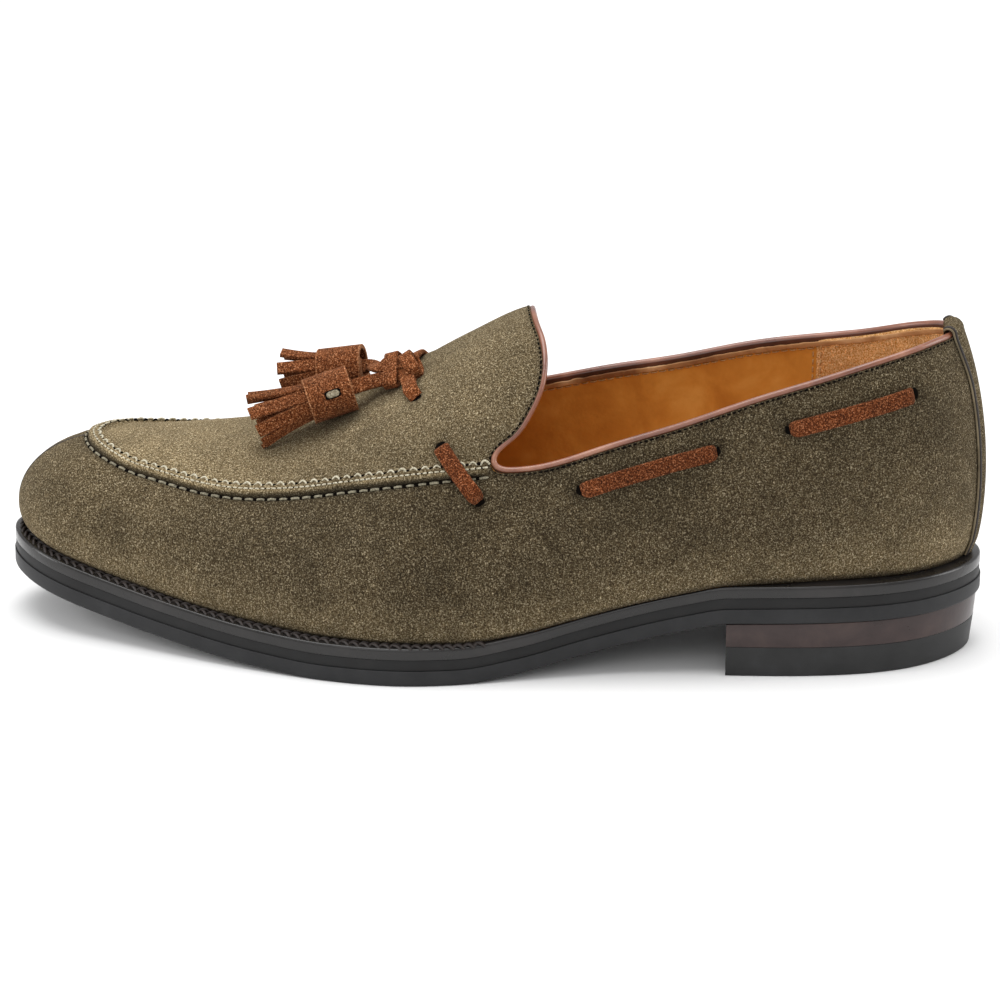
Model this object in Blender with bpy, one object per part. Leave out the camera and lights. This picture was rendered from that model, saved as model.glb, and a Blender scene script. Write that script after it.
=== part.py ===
"""Tassel loafer, a left shoe in men's EU 42: a suede upper on a welted rubber sole with a stacked heel.

+X runs from the toe to the heel, -Y is the outer side of the foot and +Z is up. The floor is z = 0.
Lengths are metres. "along" in a table is the share of the sole's length from the back of the heel.
"""

import math

import bmesh
import bpy
import numpy as np

# Driving sizes of the sole
SOLE_LENGTH = 0.2975
BALL_WIDTH = 0.1045
HEEL_RISE = 0.0168
TOE_SPRING = 0.0150
OUTSOLE_THICKNESS = 0.0048
MIDSOLE_THICKNESS = 0.0034
WELT_THICKNESS = 0.0036
WELT_RING_WIDTH = 0.013
HEEL_LENGTH = 0.0766
TOP_LIFT_THICKNESS = 0.0092
HEEL_TAPER = 0.0016
INSOLE_THICKNESS = 0.0025

# Driving sizes of the upper
WALL = 0.0021
INSTEP_RISE = 0.0800
SEAM_HEIGHT = 0.0015
SEAM_WIDTH = 0.0046
BINDING_DIAMETER = 0.0019
STRAP_THICKNESS = 0.0010
STRAP_WIDTH = 0.0135
STRAP_TAIL = 0.0110

# Driving sizes of the lace and the tassels
LACE_WIDTH = 0.0047
LACE_THICKNESS = 0.0017
TASSEL_DIAMETER = 0.0132
TASSEL_BAND_LENGTH = 0.0137
TASSEL_BAND_WALL = 0.0013
FRINGE_LENGTH = 0.0168
FRINGE_WIDTH = 0.0042
FRINGE_THICKNESS = 0.0013
FRINGE_SPLAY = 0.0024

GAP = 0.0003
HEEL_BACK = 0.1465

# The sole's outline, in order round the shoe: share along, share of the ball width across
OUTLINE = (
    {"along": 0.000, "across": 0.010},
    {"along": 0.050, "across": -0.245},
    {"along": 0.120, "across": -0.335},
    {"along": 0.200, "across": -0.365},
    {"along": 0.345, "across": -0.382},
    {"along": 0.463, "across": -0.458},
    {"along": 0.582, "across": -0.528},
    {"along": 0.672, "across": -0.488},
    {"along": 0.794, "across": -0.363},
    {"along": 0.892, "across": -0.241},
    {"along": 0.963, "across": -0.126},
    {"along": 1.000, "across": 0.085},
    {"along": 0.963, "across": 0.290},
    {"along": 0.892, "across": 0.414},
    {"along": 0.794, "across": 0.474},
    {"along": 0.700, "across": 0.480},
    {"along": 0.611, "across": 0.425},
    {"along": 0.476, "across": 0.305},
    {"along": 0.343, "across": 0.255},
    {"along": 0.200, "across": 0.296},
    {"along": 0.120, "across": 0.282},
    {"along": 0.050, "across": 0.205},
)

# The underside of the sole: shares of the heel's rise and of the toe spring
UNDERSIDE = (
    {"along": 0.000, "heel": 1.030, "toe": 0.00},
    {"along": 0.255, "heel": 0.965, "toe": 0.00},
    {"along": 0.300, "heel": 0.820, "toe": 0.00},
    {"along": 0.344, "heel": 0.642, "toe": 0.00},
    {"along": 0.403, "heel": 0.390, "toe": 0.00},
    {"along": 0.463, "heel": 0.140, "toe": 0.00},
    {"along": 0.525, "heel": 0.000, "toe": 0.00},
    {"along": 0.655, "heel": 0.000, "toe": 0.00},
    {"along": 0.730, "heel": 0.000, "toe": 0.09},
    {"along": 0.830, "heel": 0.000, "toe": 0.34},
    {"along": 0.920, "heel": 0.000, "toe": 0.67},
    {"along": 1.000, "heel": 0.000, "toe": 1.00},
)

# How far the upper's lower edge stands inside the edge of the sole, as shares of the ball width
LEDGE = (
    {"along": 0.00, "outer": 0.040, "inner": 0.040},
    {"along": 0.12, "outer": 0.050, "inner": 0.040},
    {"along": 0.20, "outer": 0.030, "inner": 0.024},
    {"along": 0.27, "outer": 0.006, "inner": 0.012},
    {"along": 0.36, "outer": 0.002, "inner": 0.006},
    {"along": 0.45, "outer": 0.010, "inner": 0.010},
    {"along": 0.55, "outer": 0.030, "inner": 0.022},
    {"along": 0.62, "outer": 0.042, "inner": 0.032},
    {"along": 0.85, "outer": 0.045, "inner": 0.042},
    {"along": 1.00, "outer": 0.052, "inner": 0.052},
)

# The ridge line of the last, over the cut-away collar too. rise: share of INSTEP_RISE above the welt,
# across: share of the ball width, full_*: how square the section is, bulge_*: share of the ball width
# that the wall stands out past its lower edge, seam_*: share of the wall's length up to the apron seam
LAST = (
    {"along": 0.00, "rise": 1.230, "across": 0.000, "full_outer": 2.60, "full_inner": 2.60,
     "bulge_outer": 0.036, "bulge_inner": 0.036, "seam_outer": 0.600, "seam_inner": 0.600},
    {"along": 0.15, "rise": 1.220, "across": -0.010, "full_outer": 3.00, "full_inner": 3.00,
     "bulge_outer": 0.032, "bulge_inner": 0.030, "seam_outer": 0.600, "seam_inner": 0.600},
    {"along": 0.30, "rise": 1.110, "across": -0.010, "full_outer": 2.60, "full_inner": 2.70,
     "bulge_outer": 0.028, "bulge_inner": 0.026, "seam_outer": 0.600, "seam_inner": 0.600},
    {"along": 0.42, "rise": 1.085, "across": 0.000, "full_outer": 2.25, "full_inner": 2.35,
     "bulge_outer": 0.028, "bulge_inner": 0.032, "seam_outer": 0.440, "seam_inner": 0.455},
    {"along": 0.46, "rise": 1.092, "across": 0.015, "full_outer": 2.15, "full_inner": 2.25,
     "bulge_outer": 0.024, "bulge_inner": 0.030, "seam_outer": 0.447, "seam_inner": 0.465},
    {"along": 0.52, "rise": 1.012, "across": 0.035, "full_outer": 2.10, "full_inner": 2.20,
     "bulge_outer": 0.022, "bulge_inner": 0.026, "seam_outer": 0.466, "seam_inner": 0.485},
    {"along": 0.58, "rise": 0.874, "across": 0.050, "full_outer": 2.12, "full_inner": 2.25,
     "bulge_outer": 0.024, "bulge_inner": 0.022, "seam_outer": 0.481, "seam_inner": 0.500},
    {"along": 0.65, "rise": 0.720, "across": 0.062, "full_outer": 2.20, "full_inner": 2.40,
     "bulge_outer": 0.024, "bulge_inner": 0.020, "seam_outer": 0.501, "seam_inner": 0.520},
    {"along": 0.72, "rise": 0.612, "across": 0.070, "full_outer": 2.35, "full_inner": 2.50,
     "bulge_outer": 0.022, "bulge_inner": 0.020, "seam_outer": 0.501, "seam_inner": 0.520},
    {"along": 0.80, "rise": 0.530, "across": 0.078, "full_outer": 2.50, "full_inner": 2.60,
     "bulge_outer": 0.022, "bulge_inner": 0.020, "seam_outer": 0.533, "seam_inner": 0.545},
    {"along": 0.86, "rise": 0.478, "across": 0.082, "full_outer": 2.60, "full_inner": 2.65,
     "bulge_outer": 0.024, "bulge_inner": 0.020, "seam_outer": 0.608, "seam_inner": 0.610},
    {"along": 1.00, "rise": 0.400, "across": 0.085, "full_outer": 3.05, "full_inner": 3.05,
     "bulge_outer": 0.044, "bulge_inner": 0.044, "seam_outer": 0.715, "seam_inner": 0.715},
)
HEEL_FAN = 0.150
TOE_FAN = 0.862

# The edge of the collar seen from the side, from the top of the throat to the back of the heel:
# heights are shares of INSTEP_RISE above the welt. The corner row is rounded
COLLAR = (
    {"along_outer": 0.4650, "outer": 1.550, "along_inner": 0.4740, "inner": 1.550},
    {"along_outer": 0.4570, "outer": 1.073, "along_inner": 0.4660, "inner": 1.060},
    {"along_outer": 0.4475, "outer": 1.009, "along_inner": 0.4595, "inner": 0.990},
    {"along_outer": 0.4420, "outer": 0.941, "along_inner": 0.4540, "inner": 0.925},
    {"along_outer": 0.4415, "outer": 0.882, "along_inner": 0.4530, "inner": 0.868},
    {"along_outer": 0.4485, "outer": 0.801, "along_inner": 0.4570, "inner": 0.815},
    {"along_outer": 0.4605, "outer": 0.728, "along_inner": 0.4650, "inner": 0.770},
    {"along_outer": 0.4840, "outer": 0.680, "along_inner": 0.4800, "inner": 0.735},
    {"along_outer": 0.4970, "outer": 0.648, "along_inner": 0.4870, "inner": 0.715},
    {"along_outer": 0.4520, "outer": 0.630, "along_inner": 0.4520, "inner": 0.722},
    {"along_outer": 0.3830, "outer": 0.641, "along_inner": 0.3830, "inner": 0.722},
    {"along_outer": 0.3140, "outer": 0.661, "along_inner": 0.3140, "inner": 0.703},
    {"along_outer": 0.2465, "outer": 0.710, "along_inner": 0.2465, "inner": 0.708},
    {"along_outer": 0.1785, "outer": 0.780, "along_inner": 0.1785, "inner": 0.738},
    {"along_outer": 0.1110, "outer": 0.845, "along_inner": 0.1110, "inner": 0.783},
    {"along_outer": 0.0530, "outer": 0.884, "along_inner": 0.0530, "inner": 0.852},
    {"along_outer": -0.0800, "outer": 0.905, "along_inner": -0.0800, "inner": 0.893},
)
COLLAR_CORNER = 8
COLLAR_CORNER_RADIUS = 0.0035
COLLAR_BLEND = 0.015

# The lace where it shows on the wall: shares along and heights above the welt as shares of INSTEP_RISE
LACE_BARS = (
    {"name": "vamp", "from_along": 0.5445, "from_height": 0.7135, "to_along": 0.504, "to_height": 0.5385},
    {"name": "side", "from_along": 0.4035, "from_height": 0.500, "to_along": 0.271, "to_height": 0.538},
    {"name": "heel", "from_along": 0.199, "from_height": 0.605, "to_along": 0.077, "to_height": 0.707},
)

# The lace's knot on the vamp and the tassels that hang from it. Places are shares of the sole's length and
# of the ball width, lift is a length above the vamp, turn and dip are the tassel's angles in degrees, lead is
# how far its lace end runs beside the middle of the sleeve, roll how many degrees that end turns outwards on
# its way, and fringe a share of FRINGE_LENGTH
KNOT = {"along": 0.577, "across": -0.045, "lift": 0.0034}
SLEEVE = {"along": 0.596, "across": -0.026, "lift": 0.0048}
LACE_HOLES = (
    {"along": 0.5745, "across": -0.160},
    {"along": 0.574, "across": 0.150},
)
TASSELS = (
    {"name": "near", "along": 0.652, "across": -0.060, "turn": 12.0, "dip": 17.0,
     "lift": 0.0012, "lead": -0.0025, "roll": 55.0, "fringe": 1.00},
    {"name": "far", "along": 0.647, "across": 0.134, "turn": -6.0, "dip": 10.0,
     "lift": 0.0018, "lead": 0.0025, "roll": 20.0, "fringe": 0.68},
)

# The strips of a fringe: turn round the tassel in degrees from its outer side, shares of the fringe's length
# and of its splay
FRINGE = (
    {"turn": -38.0, "length": 0.95, "splay": 0.25},
    {"turn": 5.0, "length": 1.00, "splay": 0.70},
    {"turn": 46.0, "length": 1.06, "splay": 0.90},
    {"turn": 88.0, "length": 0.97, "splay": 1.20},
    {"turn": 131.0, "length": 1.04, "splay": 1.00},
    {"turn": 173.0, "length": 0.94, "splay": 1.00},
    {"turn": 215.0, "length": 1.00, "splay": 0.20},
)

SIDES = {"outer": -1, "inner": 1}
OTHER = {"outer": "inner", "inner": "outer"}

MATERIALS = {
    "olive_suede": {"colour": (0.118, 0.091, 0.052), "roughness": 0.95},
    "rust_suede": {"colour": (0.150, 0.035, 0.013), "roughness": 0.95},
    "brown_binding_leather": {"colour": (0.210, 0.068, 0.046), "roughness": 0.45},
    "tan_lining_leather": {"colour": (0.480, 0.215, 0.062), "roughness": 0.5},
    "dark_brown_welt_leather": {"colour": (0.020, 0.010, 0.008), "roughness": 0.5},
    "black_midsole_rubber": {"colour": (0.010, 0.010, 0.010), "roughness": 0.6},
    "charcoal_outsole_rubber": {"colour": (0.035, 0.034, 0.035), "roughness": 0.55},
    "brown_heel_leather": {"colour": (0.040, 0.014, 0.010), "roughness": 0.4},
    "black_heel_rubber": {"colour": (0.008, 0.008, 0.008), "roughness": 0.6},
}

MIDSOLE_INSET = 0.0010
WELT_INSET = 0.0007
HEEL_STEP = 0.0010
SLEEVE_LENGTH = 0.0046
SLEEVE_WALL = 0.0011
KNOT_WALL = 0.0009
KNOT_LENGTH = 0.0044
LACE_SEAT = 0.0025
FRINGE_ROOT = 0.0017
TASSEL_RIM = 0.0003
SEAM_STEP = 0.0007
SEAM_FADE = 0.007
LACE_CLEARANCE = 0.0002
LACE_SQUARENESS = 0.6
LACE_END = 0.8
LEAD_CLEARANCE = 0.0009
STRAP_CLEARANCE = 0.0003
WELT_CLEARANCE = 0.0005
BINDING_CLEARANCE = 0.0003

FAN_STATIONS = 9
MIDDLE_STATIONS = 27
SIDE_ROWS = 6
BAR_STEPS = 9
APRON_ROWS = 4
PROFILE_STEPS = 90
OUTLINE_STEPS = 16
SOLE_STEPS = 56
HEEL_STEPS = 22
COLLAR_POINTS = 72
LOOP_FINENESS = 4


def fair_slopes(knots, values, closed):
    """Slopes at the knots of the cubic spline through the values, natural or closed."""
    count = len(knots) - 1 if closed else len(knots)
    matrix = np.zeros((count, count))
    right = np.zeros((count,) + values.shape[1:])
    steps = np.diff(knots)
    for i in range(count):
        if not closed and i in (0, count - 1):
            j = 1 if i == 0 else count - 2
            matrix[i, i], matrix[i, j] = 2.0, 1.0
            a, b = (0, 1) if i == 0 else (count - 2, count - 1)
            right[i] = 3.0 * (values[b] - values[a]) / steps[a]
            continue
        before, after = steps[i - 1], steps[i]
        left, here = ((i - 1) % count), i
        matrix[i, left] += after
        matrix[i, here] += 2.0 * (before + after)
        matrix[i, (i + 1) % count] += before
        last = values[left] if closed else values[i - 1]
        right[i] = 3.0 * (after * (values[i] - last) / before + before * (values[i + 1] - values[i]) / after)
    slopes = np.linalg.solve(matrix, right.reshape(count, -1)).reshape(right.shape)
    return np.concatenate([slopes, slopes[:1]]) if closed else slopes


def level_slopes(knots, values):
    """Slopes that keep a rising or level table rising or level between its rows."""
    steps = np.diff(knots)
    rates = np.diff(values) / steps
    slopes = np.zeros(len(knots))
    for i in range(1, len(knots) - 1):
        if rates[i - 1] * rates[i] > 0:
            near = 2 * steps[i] + steps[i - 1]
            far = steps[i] + 2 * steps[i - 1]
            slopes[i] = (near + far) / (near / rates[i - 1] + far / rates[i])
    slopes[0], slopes[-1] = rates[0], rates[-1]
    return slopes


def hermite(knots, values, slopes, at):
    """Cubic pieces through the values with the given slopes, read at the places in at."""
    at = np.clip(np.asarray(at, float), knots[0], knots[-1])
    i = np.clip(np.searchsorted(knots, at, side="right") - 1, 0, len(knots) - 2)
    step = knots[i + 1] - knots[i]
    u = (at - knots[i]) / step
    if values.ndim > 1:
        u, step = u[..., None], step[..., None]
    flat = (2 * u**3 - 3 * u**2 + 1) * values[i] + (3 * u**2 - 2 * u**3) * values[i + 1]
    return flat + (u**3 - 2 * u**2 + u) * step * slopes[i] + (u**3 - u**2) * step * slopes[i + 1]


def column(table, name, along, level=False):
    """One column of a table at the places in along."""
    knots = np.array([row["along"] for row in table])
    values = np.array([row[name] for row in table])
    slopes = level_slopes(knots, values) if level else fair_slopes(knots, values, False)
    return hermite(knots, values, slopes, along)


def curve_through(points, closed=False, steps=OUTLINE_STEPS):
    """A dense smooth curve through points."""
    points = np.asarray(points, float)
    if closed:
        points = np.concatenate([points, points[:1]])
    knots = np.concatenate([[0.0], np.cumsum(np.linalg.norm(np.diff(points, axis=0), axis=1))])
    slopes = fair_slopes(knots, points, closed)
    inner = [np.linspace(a, b, steps, endpoint=False) for a, b in zip(knots[:-1], knots[1:])]
    at = np.concatenate(inner if closed else inner + [knots[-1:]])
    return hermite(knots, points, slopes, at)


def resampled(points, count):
    """Points at even steps along a curve."""
    lengths = np.concatenate([[0.0], np.cumsum(np.linalg.norm(np.diff(points, axis=0), axis=1))])
    at = np.linspace(0.0, lengths[-1], count)
    return np.stack([np.interp(at, lengths, points[:, i]) for i in range(points.shape[1])], axis=1)


def share_of(x):
    """Share along the sole of a place at x."""
    return (HEEL_BACK - np.asarray(x)) / SOLE_LENGTH


def x_at(along):
    """Place along X of a share along the sole."""
    return HEEL_BACK - np.asarray(along) * SOLE_LENGTH


def underside(x):
    """Height of the sole's underside at x."""
    along = share_of(x)
    heel = column(UNDERSIDE, "heel", along, level=True)
    return heel * HEEL_RISE + column(UNDERSIDE, "toe", along, level=True) * TOE_SPRING


SOLE_THICKNESS = OUTSOLE_THICKNESS + MIDSOLE_THICKNESS + WELT_THICKNESS


def welt_top(x):
    """Height of the welt's upper face at x."""
    return underside(x) + SOLE_THICKNESS


class Outline:
    """A closed outline in plan, split at its ends into an outer and an inner side."""

    def __init__(self, points):
        heel, toe = points[:, 0].argmax(), points[:, 0].argmin()
        points = np.roll(points, -heel, axis=0)
        toe = (toe - heel) % len(points)
        inner = np.concatenate([points[toe:], points[:1]])
        self.sides = {"outer": points[: toe + 1][::-1], "inner": inner}
        self.heel, self.toe = points[0], points[toe]

    def across(self, x, side):
        """Place along Y of this outline's side at x."""
        run = self.sides[side]
        return np.interp(x, run[:, 0], run[:, 1])


def outline_points(inset=0.0):
    """The sole's outline, moved inwards by inset, a length or a function of the share along and the side."""
    rows = [(x_at(row["along"]), row["across"] * BALL_WIDTH) for row in OUTLINE]
    points = curve_through(rows, closed=True, steps=OUTLINE_STEPS)
    ahead = np.roll(points, -1, axis=0) - np.roll(points, 1, axis=0)
    inwards = np.stack([ahead[:, 1], -ahead[:, 0]], axis=1)
    inwards /= np.linalg.norm(inwards, axis=1)[:, None]
    if callable(inset):
        toe = max(range(len(OUTLINE)), key=lambda i: OUTLINE[i]["along"])
        is_outer = np.arange(len(points)) < toe * OUTLINE_STEPS
        inset = inset(share_of(points[:, 0]), is_outer)[:, None]
    return points + inwards * inset


def ledge(along, is_outer):
    """Width of the welt that shows outside the upper."""
    outer = column(LEDGE, "outer", along)
    inner = column(LEDGE, "inner", along)
    return np.where(is_outer, outer, inner) * BALL_WIDTH


SOLE = Outline(outline_points())
FEATHER = Outline(outline_points(ledge))


def stations(outline, x_from, x_to, count):
    """Places along X between two ends, closer together towards an end that is rounded."""
    heel_end = math.isclose(x_to, outline.heel[0])
    toe_end = math.isclose(x_from, outline.toe[0])
    u = np.linspace(0.0, 1.0, count)
    if heel_end and toe_end:
        u = (1 - np.cos(math.pi * u)) / 2
    elif heel_end:
        u = np.sin(math.pi * u / 2)
    return x_from + (x_to - x_from) * u


def finished(name, material, vertices, faces):
    """A named object from vertices and faces, merged where they coincide, with its faces turned outwards."""
    mesh = bpy.data.meshes.new(name)
    built = bmesh.new()
    made = [built.verts.new(vertex) for vertex in vertices]
    for face in faces:
        corners = [made[i] for i in dict.fromkeys(face)]
        if len(corners) > 2:
            built.faces.new(corners)
    bmesh.ops.remove_doubles(built, verts=built.verts, dist=1e-7)
    bmesh.ops.dissolve_degenerate(built, edges=built.edges, dist=1e-7)
    bmesh.ops.recalc_face_normals(built, faces=built.faces)
    if built.calc_volume(signed=True) < 0:
        bmesh.ops.reverse_faces(built, faces=built.faces)
    built.to_mesh(mesh)
    built.free()
    mesh.materials.append(surface(material))
    mesh.shade_smooth()
    mesh.set_sharp_from_angle(angle=math.radians(35))
    obj = bpy.data.objects.new(name, mesh)
    bpy.context.scene.collection.objects.link(obj)
    return obj


def surface(name):
    """The material of this name."""
    if name in bpy.data.materials:
        return bpy.data.materials[name]
    material = bpy.data.materials.new(name)
    material.use_nodes = True
    shader = material.node_tree.nodes["Principled BSDF"]
    shader.inputs["Base Color"].default_value = (*MATERIALS[name]["colour"], 1.0)
    shader.inputs["Roughness"].default_value = MATERIALS[name]["roughness"]
    return material


def plate(name, material, outline, x_from, x_to, bottom, top, count=SOLE_STEPS, top_outline=None):
    """A plate inside an outline, with its lower and upper faces at heights that are functions of x."""
    vertices, faces = [], []
    xs = stations(outline, x_from, x_to, count)
    upper = top_outline or outline
    upper_to = upper.heel[0] if math.isclose(x_to, outline.heel[0]) else x_to
    upper_from = upper.toe[0] if math.isclose(x_from, outline.toe[0]) else x_from
    uppers = stations(upper, upper_from, upper_to, count)
    for x, u in zip(xs, uppers):
        vertices += [(x, outline.across(x, side), float(bottom(x))) for side in SIDES]
        vertices += [(u, upper.across(u, side), float(top(u))) for side in SIDES]
    for i in range(count - 1):
        a, b = 4 * i, 4 * i + 4
        faces += [(a, b, b + 1, a + 1), (a + 2, a + 3, b + 3, b + 2)]
        faces += [(a, a + 2, b + 2, b), (a + 1, b + 1, b + 3, a + 3)]
    last = 4 * count - 4
    faces += [(0, 1, 3, 2), (last, last + 2, last + 3, last + 1)]
    return finished(name, material, vertices, faces)


def ring(name, material, outer, inner, bottom, top, count=SOLE_STEPS):
    """A flat ring between two outlines."""
    loops = []
    for outline in (outer, inner):
        xs = stations(outline, outline.toe[0], outline.heel[0], count)
        there = [(x, outline.across(x, "outer")) for x in xs]
        back = [(x, outline.across(x, "inner")) for x in xs[-2:0:-1]]
        loops.append(there + back)
    size = len(loops[0])
    vertices = [(x, y, float(height(x))) for loop in loops for height in (bottom, top) for x, y in loop]
    faces = []
    for i in range(size):
        j = (i + 1) % size
        low_out, top_out, low_in, top_in = (k * size for k in range(4))
        faces += [(low_out + i, low_out + j, top_out + j, top_out + i)]
        faces += [(low_in + i, top_in + i, top_in + j, low_in + j)]
        faces += [(low_out + i, low_in + i, low_in + j, low_out + j)]
        faces += [(top_out + i, top_out + j, top_in + j, top_in + i)]
    return finished(name, material, vertices, faces)


HEEL_CENTRE = float(x_at(HEEL_FAN))
TOE_CENTRE = float(x_at(TOE_FAN))


def feather_point(station, side):
    """Lower edge of the upper at a station.

    From 0 to 1 it rounds the heel, from 1 to 2 it runs forward and from 2 to 3 it rounds the toe.
    """
    if station <= 1.0:
        reach = FEATHER.heel[0] - HEEL_CENTRE
        x = HEEL_CENTRE + reach * math.cos(station * math.pi / 2)
    elif station <= 2.0:
        x = HEEL_CENTRE + (TOE_CENTRE - HEEL_CENTRE) * (station - 1.0)
    else:
        reach = FEATHER.toe[0] - TOE_CENTRE
        x = TOE_CENTRE + reach * math.sin((station - 2.0) * math.pi / 2)
    return x, float(FEATHER.across(x, side))


def last_value(name, x):
    """One column of the last's table at x."""
    return float(column(LAST, name, share_of(x)))


def side_value(name, station, side):
    """A column that differs from side to side, brought together where the sides meet."""
    x = feather_point(station, side)[0]
    own, other = last_value(f"{name}_{side}", x), last_value(f"{name}_{OTHER[side]}", x)
    apart = min(station, 3.0 - station, 1.0)
    apart = apart * apart * (3 - 2 * apart)
    return (own + other) / 2 + (own - other) / 2 * apart


_profiles = {}


def wall_profile(station, side):
    """The wall's run at a station, from its lower edge to the ridge, with the length up to each point."""
    key = (round(station, 6), side)
    if key in _profiles:
        return _profiles[key]
    x, y = feather_point(station, side)
    base = np.array([x, y, float(welt_top(x)) + GAP])
    top_x = min(max(x, TOE_CENTRE), HEEL_CENTRE)
    across = last_value("across", top_x) * BALL_WIDTH
    top = np.array([top_x, across, welt_top(top_x) + last_value("rise", top_x) * INSTEP_RISE])
    full = side_value("full", station, side)
    bulge = side_value("bulge", station, side) * BALL_WIDTH
    outwards = base[:2] - top[:2]
    reach = np.linalg.norm(outwards)
    outwards /= reach
    angle = np.linspace(0.0, math.pi / 2, PROFILE_STEPS)
    rise = np.clip(np.sin(angle), 0, 1) ** (2 / full)
    near = np.clip(np.cos(angle), 0, 1) ** (2 / full)
    near[-1], rise[0] = 0.0, 0.0
    run = near * reach + bulge * np.sin(math.pi * rise**0.62)
    points = np.concatenate(
        [top[:2] + run[:, None] * outwards, (base[2] + rise * (top[2] - base[2]))[:, None]], axis=1
    )
    points[-1] = top
    lengths = np.concatenate([[0.0], np.cumsum(np.linalg.norm(np.diff(points, axis=0), axis=1))])
    _profiles[key] = points, lengths
    return points, lengths


def wall_at(station, side, share):
    """Point of the last at a share of the wall's length, on the other side past either end or the ridge."""
    if share > 1.0:
        side, share = OTHER[side], 2.0 - share
    if station < 0.0 or station > 3.0:
        side, station = OTHER[side], -station if station < 0.0 else 6.0 - station
    points, lengths = wall_profile(station, side)
    at = share * lengths[-1]
    return np.array([np.interp(at, lengths, points[:, i]) for i in range(3)])


def wall_normal(station, side, share):
    """Outward direction of the last at a point."""
    up = wall_at(station, side, share + 0.012) - wall_at(station, side, max(share - 0.012, 0.0))
    forward = wall_at(station + 0.02, side, share) - wall_at(station - 0.02, side, share)
    normal = np.cross(forward, up) * SIDES[side]
    size = np.linalg.norm(normal)
    return normal / size if size > 1e-9 else np.array([0.0, 0.0, 1.0])


def on_wall(x, height, side, lift=0.0):
    """Point of the wall at a place seen from the side, moved outwards by lift, and the outward direction."""

    def share_at(station):
        points, lengths = wall_profile(station, side)
        return np.interp(height, points[:, 2], lengths / lengths[-1])

    low, high = 0.0, 3.0
    for _ in range(30):
        middle = (low + high) / 2
        if wall_at(middle, side, share_at(middle))[0] > x:
            low = middle
        else:
            high = middle
    share = share_at(low)
    normal = wall_normal(low, side, share)
    return wall_at(low, side, share) + normal * lift, normal


def on_top(x, y, lift=0.0):
    """Point of the upper above a place in plan, moved outwards by lift, and the outward direction."""
    station = 1.0 + (HEEL_CENTRE - x) / (HEEL_CENTRE - TOE_CENTRE)
    ridge = last_value("across", x) * BALL_WIDTH
    side = "outer" if y < ridge else "inner"
    points, lengths = wall_profile(station, side)
    top = points[:, 2].argmax() + 1
    start = np.abs(points[:top, 1] - ridge).argmax()
    run = np.abs(points[start:top, 1] - ridge)
    share = np.interp(-abs(y - ridge), -run, lengths[start:top] / lengths[-1])
    normal = wall_normal(station, side, share)
    return wall_at(station, side, share) + normal * lift, normal


def all_stations(fan, middle):
    """Stations from the back of the heel to the tip of the toe."""
    heel = np.linspace(0.0, 1.0, fan, endpoint=False)
    between = np.linspace(1.0, 2.0, middle, endpoint=False)
    return np.concatenate([heel, between, np.linspace(2.0, 3.0, fan + 1)])


def row_shares(station, side):
    """Shares of the wall's length at the rows of the upper, with the raised seam's height on each."""
    length = wall_profile(station, side)[1][-1]
    x = feather_point(station, side)[0]
    seam = side_value("seam", station, side)
    fade = np.clip((x_at(COLLAR[COLLAR_CORNER][f"along_{side}"]) - x) / SEAM_FADE, 0.0, 1.0)
    ridge = seam + np.array([SEAM_STEP, SEAM_WIDTH - SEAM_STEP, SEAM_WIDTH + SEAM_STEP]) / length
    below = np.linspace(0.0, seam, SIDE_ROWS + 1)
    above = np.linspace(ridge[-1], 1.0, APRON_ROWS + 1)[1:]
    heights = np.array([SEAM_HEIGHT, SEAM_HEIGHT, 0.0]) * fade
    shares = np.concatenate([below, ridge, above])
    return shares, np.concatenate([np.zeros(len(below)), heights, np.zeros(len(above))])


def grid_normals(grid):
    """Outward directions of a grid of points that runs from the heel to the toe and from side to side."""
    past_heel, past_toe = grid[1:2, ::-1], grid[-2:-1, ::-1]
    forward = np.concatenate([grid[1:], past_toe]) - np.concatenate([past_heel, grid[:-1]])
    wide = np.concatenate([grid[:, :1], grid, grid[:, -1:]], axis=1)
    over = wide[:, 2:] - wide[:, :-2]
    normals = np.cross(over, forward)
    sizes = np.linalg.norm(normals, axis=2, keepdims=True)
    upright = np.broadcast_to([0.0, 0.0, 1.0], normals.shape)
    return np.where(sizes > 1e-10, normals / np.maximum(sizes, 1e-10), upright)


def last_grid(station_run, shares_of):
    """Points of the last and the height raised on each, in rows from the outer to the inner edge."""
    points, heights = [], []
    for station in station_run:
        line, raised = [], []
        for side in SIDES:
            shares, rows = shares_of(station, side)
            run = [wall_at(station, side, share) for share in shares]
            line.append(run if side == "outer" else run[-2::-1])
            raised.append(rows if side == "outer" else rows[-2::-1])
        points.append(line[0] + line[1])
        heights.append(np.concatenate(raised))
    return np.array(points), np.array(heights)


def collar_profile(side, grow=0.0):
    """The collar's edge seen from the side, from the throat to the heel, moved into the wall by grow."""
    places = [float(x_at(row[f"along_{side}"])) for row in COLLAR]
    rows = [(x, float(welt_top(x)) + row[side] * INSTEP_RISE) for x, row in zip(places, COLLAR)]
    front = resampled(curve_through(rows[: COLLAR_CORNER + 1]), 60)
    back = resampled(curve_through(rows[COLLAR_CORNER:]), 100)
    cut = 1.3 * COLLAR_CORNER_RADIUS
    corner = front[-1]
    front = front[np.linalg.norm(front - corner, axis=1) > cut]
    back = back[np.linalg.norm(back - corner, axis=1) > cut]
    turn = np.linspace(0.0, 1.0, 9)[1:-1, None]
    bend = (1 - turn) ** 2 * front[-1] + 2 * turn * (1 - turn) * corner + turn**2 * back[0]
    edge = resampled(np.concatenate([front, bend, back]), COLLAR_POINTS)
    ahead = np.gradient(edge, axis=0)
    ahead /= np.linalg.norm(ahead, axis=1)[:, None]
    return edge + grow * np.stack([ahead[:, 1], -ahead[:, 0]], axis=1)


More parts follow.
